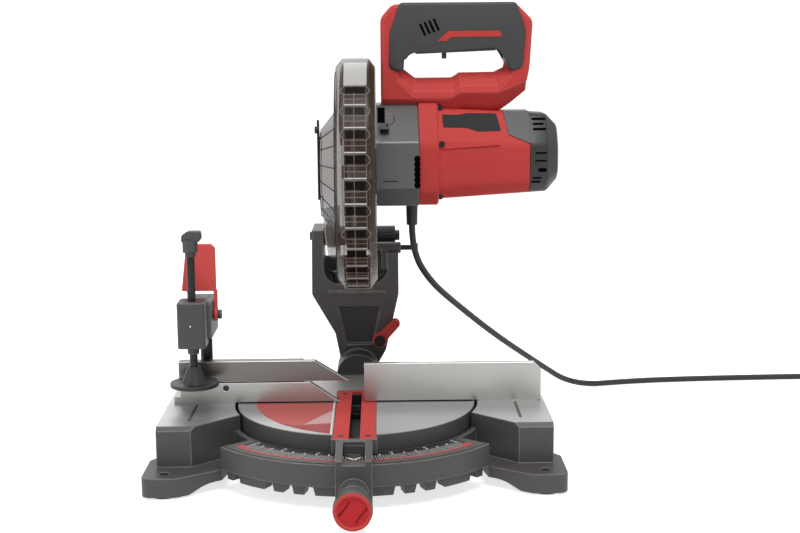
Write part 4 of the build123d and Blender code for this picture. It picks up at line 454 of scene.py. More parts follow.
# Lighter red for the clamp lever: painted light where the lever faces the lamp.
LEVER_RED_LIT = Finish("lever_red", "e05a57", 0.45, specular=0.12)
RED_DISH = Finish("red_plastic_dish", "cb353a", 0.5, specular=0.07)
RED_DARK = Finish("red_plastic_dark", "6d1413", 0.5, specular=0.1)
GREY = Finish("grey_plastic", "4b4b4b", 0.46, texture=Texture(Grain.FINE, 1800, 0.02, 0.08), specular=0.35)
# Lighter grey edges: painted highlight.
GREY_EDGE_HIGHLIGHT = Finish("grey_plastic_edge", "5e5e5e", 0.42)
# Darker paint for the fork's neck and the turntable's bevel bracket: painted shade.
NECK_SHADE = Finish("neck_paint", "2b2a2a", 0.5, texture=Texture(Grain.FINE, 1100, 0.06, 0.1))
BADGE = Finish("badge_dark", "353537", 0.75, specular=0.15)
BLACK = Finish("black_plastic", "1d1d1e", 0.42, texture=Texture(Grain.FINE, 2000, 0.03, 0.12))
# Lighter black edges: painted highlight.
BLACK_EDGE_HIGHLIGHT = Finish("black_plastic_edge", "2e2e2f", 0.4)
RUBBER = Finish("grip_rubber", "373738", 0.6, texture=Texture(Grain.FINE, 2600, 0.06, 0.12))
PAD = Finish("pad_rubber", "1b1b1b", 0.75, texture=Texture(Grain.FINE, 1500, 0.06, 0.1))
LEAD = Finish("lead_rubber", "1e1e1f", 0.55, texture=Texture(Grain.FINE, 1800, 0.02, 0.1))
SCALE_BAND = Finish("scale_band", "1f1d1e", 0.5)
PRINT = Finish("scale_print", "f4f2ee", 0.5)
FINE_PRINT = Finish("fine_print", "b5b3b0", 0.5)
# Near-black with no shine: painted shade in gaps, slots, slits and vents.
VOID_SHADE = Finish("dark_gap", "080808", 0.9, specular=0.0)
RED_PRINT = Finish("red_print", "c02a26", 0.4)
DECAL = Finish("decal_red", "bd4a45", 0.35)
DECAL_DARK = Finish("decal_dark_red", "9c2422", 0.35)
DECAL_PALE = Finish("decal_pale", "c9a09d", 0.35)
SMOKE = Finish("smoked_guard", "4a3a30", 0.25, alpha=0.5, specular=0.2)
SMOKE_EDGE = Finish("smoked_guard_edge", "4a3d35", 0.22, alpha=0.8, specular=0.3)
# Dark smoked plastic for the cone's ribs, and painted shade in the gaps of the rim windows.
SMOKE_DARK_AND_SHADE = Finish("smoked_dark", "171412", 0.3, alpha=0.92, specular=0.05)
# Light lines of the guard's window outlines and seam: painted highlights.
GUARD_LINE_HIGHLIGHT = Finish("guard_line", "a39b94", 0.3, alpha=0.7, specular=0.3)
# Opaque light grey of the clear top panel: painted sheen and light through the clear plastic.
CLEAR_SHEEN = Finish("clear_panel", "b4b3b1", 0.35, specular=0.3)
# White lips of the rim windows: painted highlights.
LIP_HIGHLIGHT = Finish("clear_lip", "e6e4e0", 0.25)

# Pieces that keep their CAD form, by the finishes of their faces and edges, each with its edge rounding in mm.
# Where the edge finish differs, it is a lighter copy that paints a highlight along the rounded edges.
PLAIN: dict[tuple[Finish, Finish], dict[str, float]] = {
    (PAD, PAD): {"rubber_feet": 0.3},
    (PAINT, PAINT_EDGE_WEAR_HIGHLIGHT): {"detent_plate": 0.4, "miter_scale": 0.15},
    (FENCE, FENCE_EDGE_HIGHLIGHT): {"fence_right": 0.6, "fence_left_fixed": 0.5},
    (FENCE_SLIDE_REFLECTION, FENCE_EDGE_HIGHLIGHT): {"fence_left_sliding": 0.6},
    (HEAD_PAINT, HEAD_EDGE_WEAR_HIGHLIGHT): {"head_casting": 0.8},
    (HEAD_PAINT, HEAD_PAINT): {"gear_housing": 1.0},
    (BLACK_STEEL, BLACK_STEEL): {
        "pivot_bolt": 0.3, "fence_bolts": 0.4, "insert_screws": 0.2, "detent_plunger": 0.3, "pivot_shaft": 0.4,
        "torsion_spring": 0.0, "arm_bolts": 0.4, "head_lock_pin": 0.4, "guard_lift_rod": 0.2, "arbor_bolt": 0.3,
        "clamp_post": 0.6, "clamp_rod": 0.3,
    },
    (BRIGHT, BRIGHT): {
        "bevel_pivot_bolt": 0.4, "ball_bearings": 0.2, "spindle_shaft": 0.3, "spindle_gear": 0.0,
        "blade_flanges": 0.3, "rotor_shaft": 0.2,
    },
    (BLADE, BLADE): {"saw_blade": 0.0},
    (CORE, CORE): {"stator": 0.0, "armature": 0.0},
    (BLACK, BLACK_EDGE_HIGHLIGHT): {
        "fence_knob": 0.5, "spring_cover": 0.15, "switch": 0.4, "trigger": 1.2, "lock_off": 0.6, "clamp_foot": 0.5,
    },
    (BLACK, BLACK): {"carbon_brushes": 0.0, "cooling_fan": 0.0},
    (GREY, GREY_EDGE_HIGHLIGHT): {"miter_pointer": 0.25, "lock_knob": 0.8, "clamp_arm": 1.4},
    (RED, RED_EDGE_HIGHLIGHT): {"kerf_insert": 0.4, "bevel_lever": 1.0},
    (LEVER_RED_LIT, LEVER_RED_LIT): {"clamp_lever": 1.2},
    (LEAD, LEAD): {"strain_relief": 0.3, "plug": 1.0},
}


def evaluated(thing: Object) -> Mesh:
    """Mesh of an object with its modifiers done.

    Args:
        thing: Object with modifiers, or a curve or text.

    Returns:
        A new mesh.
    """
    bpy.context.view_layer.update()
    graph = bpy.context.evaluated_depsgraph_get()
    return bpy.data.meshes.new_from_object(thing.evaluated_get(graph), depsgraph=graph)


def linked(name: str, data: ID) -> Object:
    """Put an object in the scene.

    Args:
        name: Its name.
        data: Its mesh, curve, text, lamp or camera.

    Returns:
        The object.
    """
    thing = bpy.data.objects.new(name, data)
    bpy.context.scene.collection.objects.link(thing)
    return thing


def place(name: str, mesh: Mesh, finishes: Sequence[Finish]) -> Object:
    """Put a mesh in the scene as a piece at the origin.

    Args:
        name: Piece name.
        mesh: Its mesh, in the frame.
        finishes: Finish of each material place.

    Returns:
        The piece.
    """
    mesh.name = name
    if mesh.materials:
        mesh.materials.clear()
    for finish in finishes:
        mesh.materials.append(finish.material())
    return linked(name, mesh)


def settle(piece: Object) -> None:
    """Give a piece the mesh that its modifiers make, and remove them.

    Args:
        piece: The piece.
    """
    mesh = evaluated(piece)
    piece.modifiers.clear()
    old, name = piece.data, piece.data.name
    piece.data = mesh
    bpy.data.meshes.remove(old)
    mesh.name = name


def eased(piece: Object, width: float = 0.0, segments: int = 2, angle: float = ROUND_FROM, edge: int = -1,
          sharp: float = SHARP) -> Object:
    """Round a piece's edges and smooth its faces.

    Args:
        piece: Piece to round.
        width: Width of the rounding in mm, or 0.
        segments: Steps of the rounding.
        angle: Least edge angle in degrees that is rounded.
        edge: Material place of the rounded edges, or -1.
        sharp: Edge angle in degrees above which shading stays sharp.

    Returns:
        The piece.
    """
    if width > 0:
        bevel = piece.modifiers.new("rounding", "BEVEL")
        bevel.width = width * MM
        bevel.segments = segments
        bevel.limit_method = "ANGLE"
        bevel.angle_limit = math.radians(angle)
        bevel.use_clamp_overlap = False
        bevel.material = edge
        bevel.miter_outer = "MITER_ARC"
        settle(piece)
    piece.data.shade_smooth()
    piece.data.set_sharp_from_angle(angle=math.radians(sharp))
    if width > 0:
        weigh = piece.modifiers.new("flat_faces", "WEIGHTED_NORMAL")
        weigh.keep_sharp = True
        weigh.weight = 100
        settle(piece)
    return piece


def riding(piece: Object, body: Body, slot: str, *nodes: str) -> None:
    """Let a new piece move with a body.

    Args:
        piece: The piece.
        body: Its body.
        slot: Its material slot in the record; not used.
        nodes: CAD nodes that it stands for.
    """
    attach(piece, body.value)
    if nodes:
        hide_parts(*nodes)


Chooser = Callable[[Vector, Vector], Finish]


def refined(node: str, finishes: Sequence[Finish], width: float, choose: Chooser | None = None) -> None:
    """Dress a CAD piece: a copy of its mesh with rounded edges and its own finishes.

    Args:
        node: CAD node.
        finishes: Finishes of its faces, with that of its rounded edges second.
        width: Width of the edge rounding in mm.
        choose: Gives a face's finish from its middle in mm and its normal.
    """
    work = bmesh.new()
    work.from_mesh(frame["nodes"][node].data)
    bmesh.ops.remove_doubles(work, verts=work.verts, dist=JOIN * MM)
    bmesh.ops.dissolve_limit(work, angle_limit=math.radians(FLAT_TURN), verts=work.verts, edges=work.edges)
    bmesh.ops.dissolve_degenerate(work, edges=work.edges, dist=SPECK * MM)
    work.normal_update()
    for face in work.faces:
        chosen = choose(face.calc_center_median() / MM, face.normal) if choose else finishes[0]
        face.material_index = finishes.index(chosen)
    mesh = bpy.data.meshes.new(node + "_dressed")
    work.to_mesh(mesh)
    work.free()
    piece = eased(place(node + "_dressed", mesh, finishes), width, edge=1)
    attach(piece, NODE_BODY[node])
    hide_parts(node)


def circle(centre: Flat, radius: float, sides: int) -> list[Flat]:
    """Points round a centre.

    Args:
        centre: The centre in mm.
        radius: Distance of the points.
        sides: Count of the points.

    Returns:
        The points.
    """
    turns = [2 * math.pi * side / sides for side in range(sides)]
    return [(centre[0] + radius * math.cos(t), centre[1] + radius * math.sin(t)) for t in turns]


def box(left: float, right: float, low: float, high: float) -> list[Flat]:
    """Outline of a rectangle.

    Args:
        left: Left end in mm.
        right: Right end.
        low: Lower end.
        high: Upper end.

    Returns:
        Its corners.
    """
    return [(left, low), (right, low), (right, high), (left, high)]


def bend(first: Vector, control: Vector, last: Vector, steps: int, start: float = 0.0) -> list[Flat]:
    """Curve between two points that leans to a third.

    Args:
        first: Its first point.
        control: Point that it leans to.
        last: Its last point.
        steps: Count of its steps.
        start: Part of the curve that is left out at its start.

    Returns:
        Its points.
    """
    points = []
    for step in range(steps + 1):
        part = start + (1 - start) * step / steps
        point = first * (1 - part) ** 2 + control * 2 * part * (1 - part) + last * part ** 2
        points.append((point.x, point.y))
    return points


def rounded(outline: Sequence[Flat], radius: float, steps: int = 4) -> list[Flat]:
    """Outline with its corners rounded.

    Args:
        outline: Corners in mm.
        radius: How far from each corner the rounding starts.
        steps: Steps of each rounding.

    Returns:
        The new outline.
    """
    result = []
    for index, corner in enumerate(outline):
        here = Vector(corner)
        ends = []
        for other in (outline[index - 1], outline[(index + 1) % len(outline)]):
            way = Vector(other) - here
            ends.append(here + way.normalized() * min(radius, way.length * MOST_ROUNDED))
        result += bend(ends[0], here, ends[1], steps)
    return result


def inset(outline: Sequence[Flat], distance: float) -> list[Flat]:
    """Outline moved inwards.

    Args:
        outline: Corners in mm.
        distance: How far, in mm.

    Returns:
        The new outline.
    """
    corners = [Vector(corner) for corner in outline]
    count = len(corners)
    area = sum(corner.x * after.y - after.x * corner.y for corner, after in zip(corners, corners[1:] + corners[:1]))
    sign = 1.0 if area > 0 else -1.0
    result = []
    for index, corner in enumerate(corners):
        before = (corner - corners[index - 1]).normalized()
        after = (corners[(index + 1) % count] - corner).normalized()
        first = Vector((-before.y, before.x)) * sign
        second = Vector((-after.y, after.x)) * sign
        moved = corner + (first + second) * (distance / max(LEAST_OPEN, 1 + first.dot(second)))
        result.append((moved.x, moved.y))
    return result


class Shape:
    """Mesh under construction.

    Attributes:
        mesh: The mesh, in metres.
    """

    def __init__(self) -> None:
        """Start with nothing."""
        self.mesh = bmesh.new()

    def loft(self, loops: Sequence[Sequence[Vector]], slot: int = 0, caps: bool = True,
             closed: bool = True) -> None:
        """Join loops of points in metres.

        Args:
            loops: Loops with the same count of points.
            slot: Material place.
            caps: Close the first and last loops.
            closed: Whether each loop is closed.
        """
        rings = [[self.mesh.verts.new(point) for point in loop] for loop in loops]
        count = len(rings[0])
        last = count if closed else count - 1
        for low, high in zip(rings, rings[1:]):
            for step in range(last):
                after = (step + 1) % count
                face = self.mesh.faces.new((low[step], low[after], high[after], high[step]))
                face.material_index = slot
        if caps:
            for ring in (rings[0][::-1], rings[-1]):
                self.mesh.faces.new(ring).material_index = slot

    def prism(self, outline: Sequence[Flat], axis: Axis, low: float, high: float, slot: int = 0) -> None:
        """Add a plate.

        Args:
            outline: Outline across the axis, in mm.
            axis: Direction of its thickness.
            low: Its start along the axis.
            high: Its end along the axis.
            slot: Material place.
        """
        self.loft([[axis.point(flat, along) for flat in outline] for along in (low, high)], slot)

    def plate(self, outline: Sequence[Flat], axis: Axis, low: float, high: float, edge: float,
              steps: int = 3) -> None:
        """Add a plate with rounded rims.

        Args:
            outline: Outline across the axis, in mm.
            axis: Direction of its thickness.
            low: Its start along the axis.
            high: Its end along the axis.
            edge: Radius of the rims.
            steps: Steps of the rims.
        """
        turns = [math.pi / 2 * step / steps for step in range(steps + 1)]
        rims = [(edge * (1 - math.cos(t)), edge * (1 - math.sin(t))) for t in turns]
        levels = [(low + rise, back) for rise, back in rims] + [(high - rise, back) for rise, back in rims[::-1]]
        self.loft([[axis.point(flat, along) for flat in inset(outline, back)] for along, back in levels])

    def ring(self, outers: Sequence[Sequence[Vector]], inners: Sequence[Sequence[Vector]]) -> None:
        """Add a solid with a hole right through it.

        Args:
            outers: Loops of its outside, from one face to the other.
            inners: Loops of its hole, from the same face to the other.
        """
        first = len(self.mesh.verts)
        self.loft(outers, caps=False)
        middle = len(self.mesh.verts)
        self.loft(inners, caps=False)
        self.mesh.verts.ensure_lookup_table()
        for outer, inner in ((0, 0), (len(outers) - 1, len(inners) - 1)):
            spans = []
            for start, count in ((first + outer * len(outers[0]), len(outers[0])),
                                 (middle + inner * len(inners[0]), len(inners[0]))):
                verts = [self.mesh.verts[start + step] for step in range(count)]
                spans += [self.mesh.edges.get((verts[step], verts[(step + 1) % count])) for step in range(count)]
            bmesh.ops.triangle_fill(self.mesh, edges=spans, use_beauty=True)

    def block(self, low: Point, high: Point) -> None:
        """Add a box.

        Args:
            low: Its low corner, in mm.
            high: Its high corner.
        """
        self.prism(box(low[0], high[0], low[1], high[1]), Axis.Z, low[2], high[2])

    def lathe(self, profile: Sequence[Flat], axis: Axis, centre: Flat, sides: int, slot: int = 0) -> None:
        """Add a turned solid.

        Args:
            profile: Radius and distance along the axis of each step, in mm.
            axis: Axis of the turning.
            centre: Cross place of the axis.
            sides: Count of sides.
            slot: Material place.
        """
        self.loft([[axis.point(flat, along) for flat in circle(centre, radius, sides)]
                   for radius, along in profile], slot)

    def tube(self, path: Sequence[Vector], radius: float, sides: int = 12) -> None:
        """Add a round tube along a path.

        Args:
            path: Points in metres.
            radius: Radius in mm.
            sides: Count of sides.
        """
        ways = [(path[min(i + 1, len(path) - 1)] - path[max(i - 1, 0)]).normalized() for i in range(len(path))]
        side = ways[0].orthogonal().normalized()
        loops = []
        for point, way in zip(path, ways):
            side = (side - way * side.dot(way)).normalized()
            other = way.cross(side)
            loops.append([point + (side * across + other * up) * radius * MM
                          for across, up in circle((0.0, 0.0), 1.0, sides)])
        self.loft(loops)

    def piece(self, name: str, finishes: Sequence[Finish]) -> Object:
        """Finish the mesh.

        Args:
            name: Piece name.
            finishes: Finish of each material place.

        Returns:
            The piece.
        """
        bmesh.ops.recalc_face_normals(self.mesh, faces=self.mesh.faces)
        mesh = bpy.data.meshes.new(name)
        self.mesh.to_mesh(mesh)
        self.mesh.free()
        return place(name, mesh, finishes)

    def ride(self, name: str, finishes: Sequence[Finish], body: Body, slot: str, *nodes: str,
             smooth: bool = True, **easing: float) -> None:
        """Finish the mesh as a piece that moves with a body.

        Args:
            name: Piece name.
            finishes: Finish of each material place.
            body: Its body.
            slot: Its material slot in the record.
            nodes: CAD nodes that it stands for.
            smooth: Whether its faces are smoothed.
            easing: Settings of the smoothing.
        """
        piece = self.piece(name, finishes)
        if smooth:
            eased(piece, **easing)
        riding(piece, body, slot, *nodes)


@dataclass(frozen=True)
class Repeat:
    """Copies of one shape along a line or round a centre.

    Attributes:
        count: Count of copies.
        centre: Place of the first copy's origin, in mm.
        step: Shift from copy to copy, in mm.
        axis: Axis of the turn.
        first: Turn of the first copy, in degrees.
        turn: Turn from copy to copy, in degrees.
    """

    count: int
    centre: Point = (0.0, 0.0, 0.0)
    step: Point = (0.0, 0.0, 0.0)
    axis: Point = (0.0, 0.0, 1.0)
    first: float = 0.0
    turn: float = 0.0

    @staticmethod
    def tree() -> NodeTree:
        """Find or make the node tree of the repeats.

        Returns:
            The tree.
        """
        found = bpy.data.node_groups.get("repeat")
        if found:
            return found
        tree = bpy.data.node_groups.new("repeat", "GeometryNodeTree")
        for label, kind in (("Geometry", "Geometry"), ("Template", "Object"), ("Count", "Int"),
                            ("Centre", "Vector"), ("Step", "Vector"), ("Axis", "Vector"), ("First", "Float"),
                            ("Turn", "Float"), ("Finish", "Material")):
            tree.interface.new_socket(label, in_out="INPUT", socket_type="NodeSocket" + kind)
        tree.interface.new_socket("Geometry", in_out="OUTPUT", socket_type="NodeSocketGeometry")
        graph = Graph(tree)
        given = graph.add("NodeGroupInput").outputs
        index = graph.add("GeometryNodeInputIndex").outputs[0]
        shift = graph.add(VECTOR_MATH, {0: given["Step"], "Scale": index}, operation="SCALE")
        spot = graph.add(VECTOR_MATH, {0: given["Centre"], 1: shift.outputs[0]}, operation="ADD")
        points = graph.add("GeometryNodePoints", {"Count": given["Count"], "Position": spot.outputs[0]})
        angle = graph.math("ADD", graph.math("MULTIPLY", index, given["Turn"]), given["First"])
        euler = graph.add(VECTOR_MATH, {0: given["Axis"], "Scale": angle}, operation="SCALE")
        source = graph.add("GeometryNodeObjectInfo", {"Object": given["Template"]})
        copies = graph.add("GeometryNodeInstanceOnPoints", {
            "Points": points.outputs[0], "Instance": source.outputs["Geometry"], "Rotation": euler.outputs[0]})
        solid = graph.add("GeometryNodeRealizeInstances", {0: copies.outputs[0]})
        paint = graph.add("GeometryNodeSetMaterial", {"Geometry": solid.outputs[0], "Material": given["Finish"]})
        graph.add("NodeGroupOutput", {0: paint.outputs[0]})
        return tree

    def ride(self, name: str, template: Object, finish: Finish, body: Body, slot: str) -> None:
        """Make the copies as one piece that moves with a body, and remove the template.

        Args:
            name: Piece name.
            template: Shape to copy, about its own origin.
            finish: Finish of the copies.
            body: Body of the piece.
            slot: Its material slot in the record.
        """
        tree = self.tree()
        holder = linked(name, bpy.data.meshes.new(name))
        modifier = holder.modifiers.new("repeat", "NODES")
        modifier.node_group = tree
        values = {
            "Template": template, "Count": self.count, "Centre": tuple(Vector(self.centre) * MM),
            "Step": tuple(Vector(self.step) * MM), "Axis": self.axis, "First": math.radians(self.first),
            "Turn": math.radians(self.turn), "Finish": finish.material(),
        }
        for item in tree.interface.items_tree:
            if item.in_out == "INPUT" and item.name in values:
                modifier[item.identifier] = values[item.name]
        mesh = evaluated(holder)
        bpy.data.objects.remove(holder)
        spare = template.data
        bpy.data.objects.remove(template)
        bpy.data.meshes.remove(spare)
        riding(eased(place(name, mesh, [finish])), body, slot)


def drawn(data: Curve) -> Mesh:
    """Mesh of a curve or text, which is then removed.

    Args:
        data: The curve or text.

    Returns:
        A new mesh.
    """
    holder = linked(data.name, data)
    mesh = evaluated(holder)
    bpy.data.objects.remove(holder)
    bpy.data.curves.remove(data)
    return mesh


def nurbs_path(points: Sequence[Point], resolution: int = 24) -> list[Vector]:
    """Smooth path with the points as its control points.

    Args:
        points: Control points in mm.
        resolution: Steps between control points.

    Returns:
        Points of the path in metres.
    """
    data = bpy.data.curves.new("path", "CURVE")
    data.dimensions = "3D"
    spline = data.splines.new("NURBS")
    spline.points.add(len(points) - 1)
    for point, given in zip(spline.points, points):
        point.co = (*(Vector(given) * MM), 1.0)
    spline.order_u = 3
    spline.use_endpoint_u = True
    spline.resolution_u = resolution
    mesh = drawn(data)
    path = [vertex.co.copy() for vertex in mesh.vertices]
    bpy.data.meshes.remove(mesh)
    return path


@dataclass
class MainsLead:
    """Lead from the gear housing down behind the base, its put-away coil, and the plug.

    Attributes:
        radius: Lead radius in mm.
        hanging: Control points from the housing to the floor and along it.
        coil_radii: Radii of the coil's half turns.
        turn_steps: Steps of each half turn.
        knots: Control points at which the upper, middle and lower bends end.
        climb: Half turn that climbs to the second layer.
        layer: Height between the layers.
        tail: Straight run to the plug.
        tail_steps: Steps of that run.
    """

    radius: float = 3.5
    hanging: tuple[Point, ...] = (
        (60.5, 45.88, 243.0), (60.5, 45.88, 214.0), (80.0, 63.0, 178.0), (113.0, 108.0, 142.0),
        (160.0, 166.0, 95.0), (214.0, 226.0, 48.0), (268.0, 279.0, 3.6), (345.0, 299.0, 3.6),
        (420.0, 306.5, 3.6), (500.0, 310.0, 3.6), (560.0, 312.0, 3.6), (642.0, 312.0, 3.6),
    )
    coil_radii: tuple[float, ...] = (46.0, 42.05, 38.1, 34.15, 30.2, 26.25, 30.2, 34.15, 38.1, 42.05)
    turn_steps: int = 30
    knots: tuple[int, int, int] = (3, 4, 10)
    climb: int = 5
    layer: float = 7.8
    tail: float = 24.5
    tail_steps: int = 6

    def coil(self) -> list[Vector]:
        """Path of the coil and its tail.

        Returns:
            Points in metres.
        """
        start = Vector(self.hanging[-1])
        way = Vector((1, 0, 0))
        path = []
        for step, radius in enumerate(self.coil_radii):
            left = Vector((-way.y, way.x, 0))
            middle = start + left * radius
            rise = self.layer if step == self.climb else 0.0
            for turn in range(1, self.turn_steps + 1):
                angle = math.pi * turn / self.turn_steps
                lift = rise * (1 - math.cos(angle)) / 2
                path.append(middle - left * radius * math.cos(angle) + way * radius * math.sin(angle)
                            + Vector((0, 0, lift)))
            start = path[-1].copy()
            way = -way
        path += [start + way * self.tail * part / self.tail_steps for part in range(1, self.tail_steps + 1)]
        return [point * MM for point in path]

    def build(self) -> None:
        """Build the lead in three lengths, split at the knots."""
        whole = nurbs_path(self.hanging)
        upper, middle, lower = (
            min(range(len(whole)), key=lambda i: (whole[i] - Vector(self.hanging[knot]) * MM).length)
            for knot in self.knots)
        lengths = (
            ("lead_upper", whole[:upper + 1], Body.HEAD, Body.BEVEL_ARM, "object"),
            ("lead_middle", whole[upper:middle + 1], Body.BEVEL_ARM, Body.TURNTABLE, "object"),
            ("lead_lower", whole[middle:] + self.coil(), Body.TURNTABLE, Body.BASE, "plug"),
        )
        for name, path, near, far, end in lengths:
            shape = Shape()
            shape.tube(path, self.radius)
            piece = eased(shape.piece(name, [LEAD]))
            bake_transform(piece)
        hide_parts("cord")
        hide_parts("cord_coil")


@dataclass(frozen=True)
class Lamp:
    """Soft round lamp.

    Attributes:
        name: Lamp name.
        at: Its place in mm.
        to: Where it points.
        size: Its width in mm.
        power: Its power in watts.
    """

    name: str
    at: Point
    to: Point
    size: float
    power: float

    def build(self) -> None:
        """Add the lamp."""
        data = bpy.data.lights.new(self.name, "AREA")
        data.shape = "DISK"
        data.size = self.size * MM
        data.energy = self.power
        way = (Vector(self.to) - Vector(self.at)).normalized()
        matrix = way.to_track_quat("-Z", "Y").to_matrix().to_4x4()
        matrix.translation = Vector(self.at) * MM
        lamp = linked(self.name, data)
        lamp.matrix_world = matrix


@dataclass
class Studio:
    """Camera, lights and white floor.

    Attributes:
        eye: Place of the camera in mm.
        yaw: Turn of the camera to the right, in radians.
        pitch: Turn downwards.
        roll: Turn about its own view.
        lens: Focal length in mm.
        sensor: Width of the sensor in mm.
        clip: Farthest distance seen, in metres.
        lamps: The lamps.
        ambient: Strength of the white world as a light.
        reach: Half width and front end of the floor in mm.
        rise_y: Where the floor starts to rise.
        rise_r: Radius of the rise.
        rise_steps: Steps of the rise.
        wall: Height of the backdrop.
        tone: Brightness of the floor.
        glow: Light that the floor adds where it is seen.
    """

    eye: Point = (27.88, -1380.99, 438.11)
    yaw: float = 0.0137
    pitch: float = 0.1671
    roll: float = -0.0079
    lens: float = 61.02
    sensor: float = 36.0
    clip: float = 50.0
    lamps: tuple[Lamp, ...] = (
        Lamp("key", (250, -950, 2100), (20, 0, 200), 1300, 29),
        Lamp("fill", (-1500, -700, 800), (0, 0, 200), 1200, 4),
        Lamp("back", (-250, 1400, 1500), (0, 50, 250), 1000, 9),
    )
    ambient: float = 0.32
    reach: float = 6000.0
    rise_y: float = 2600.0
    rise_r: float = 900.0
    rise_steps: int = 12
    wall: float = 5200.0
    tone: float = 0.86
    glow: float = 0.72

    def build(self) -> None:
        """Build the whole stage."""
        bpy.context.scene.view_settings.view_transform = "Standard"
        self.camera()
        for lamp in self.lamps:
            lamp.build()
        self.world()
        self.floor()

    def camera(self) -> None:
        """Add the camera of the photo."""
        ahead = Vector((math.sin(self.yaw) * math.cos(self.pitch), math.cos(self.yaw) * math.cos(self.pitch),
                        -math.sin(self.pitch)))
        right = Vector((math.cos(self.yaw), -math.sin(self.yaw), 0))
        upward = right.cross(ahead)
        side = math.cos(self.roll) * right + math.sin(self.roll) * upward
        top = -math.sin(self.roll) * right + math.cos(self.roll) * upward
        data = bpy.data.cameras.new("camera")
        data.lens = self.lens
        data.sensor_width = self.sensor
        data.clip_end = self.clip
        matrix = Matrix((side, top, -ahead)).transposed().to_4x4()
        matrix.translation = Vector(self.eye) * MM
        camera = linked("camera", data)
        camera.matrix_world = matrix
        bpy.context.scene.camera = camera

    def world(self) -> None:
        """White where seen or mirrored, softer as a light."""
        world = bpy.data.worlds.new("white")
        bpy.context.scene.world = world
        world.use_nodes = True
        graph = Graph(world.node_tree)
        spread = graph.add(MAP_RANGE, {"Value": graph.seen(), "To Min": self.ambient, "To Max": 1.0})
        graph.feed(world.node_tree.nodes["Background"], {"Color": WHITE, "Strength": spread.outputs[0]})

    def floor(self) -> None:
        """White floor that rises to a backdrop and keeps the object's shadow."""
        turns = [math.pi / 2 * step / self.rise_steps for step in range(1, self.rise_steps + 1)]
        profile = [(-self.reach, 0.0), (self.rise_y, 0.0)]
        profile += [(self.rise_y + self.rise_r * math.sin(t), self.rise_r - self.rise_r * math.cos(t))
                    for t in turns]
        profile.append((self.rise_y + self.rise_r, self.wall))
        shape = Shape()
        shape.loft([[Axis.X.point(flat, x) for flat in profile] for x in (-self.reach, self.reach)],
                   caps=False, closed=False)
        material = bpy.data.materials.new("white_floor")
        material.use_nodes = True
        graph = Graph(material.node_tree)
        graph.feed(material.node_tree.nodes["Principled BSDF"], {
            "Base Color": (self.tone, self.tone, self.tone, 1.0), "Roughness": 1.0, "Specular IOR Level": 0.0,
            "Emission Color": WHITE, "Emission Strength": graph.math("MULTIPLY", graph.seen(), self.glow),
        })
        mesh = bpy.data.meshes.new("floor")
        shape.mesh.to_mesh(mesh)
        shape.mesh.free()
        mesh.materials.append(material)
        mesh.shade_smooth()
        linked("floor", mesh)


@dataclass
class BenchBase:
    """Cast base with its machined side tables.

    Attributes:
        table_z: Height of the tables.
        gaps: Ends of the near-black strips under the fences, painted shade in the gaps.
        gap_y: Front and back of the gaps.
        gap_z: Foot and top of the gaps over the tables.
    """

    table_z: float = 62.0
    gaps: Outline = ((-122.0, -24.0), (21.0, 122.0))
    gap_y: Flat = (-3.0, -2.4)
    gap_z: Flat = (0.25, 1.4)

    def build(self) -> None:
        """Dress the casting, and paint the shade in the gap under the fences as a near-black strip."""
        refined("base_casting", [PAINT, PAINT_EDGE_WEAR_HIGHLIGHT, MACHINED], 0.8, self.top)
        shape = Shape()
        for left, right in self.gaps:
            shape.block((left, self.gap_y[0], self.table_z + self.gap_z[0]),
                        (right, self.gap_y[1], self.table_z + self.gap_z[1]))
        shape.ride("fence_gaps", [VOID_SHADE], Body.BASE, "dark_casting", smooth=False)

    def top(self, middle: Vector, normal: Vector) -> Finish:
        """Machined finish for the table tops.

        Args:
            middle: Middle of a face.
            normal: Its normal.

        Returns:
            The face's finish.
        """
        return MACHINED if normal.z > 0.95 and middle.z > self.table_z - 0.1 else PAINT


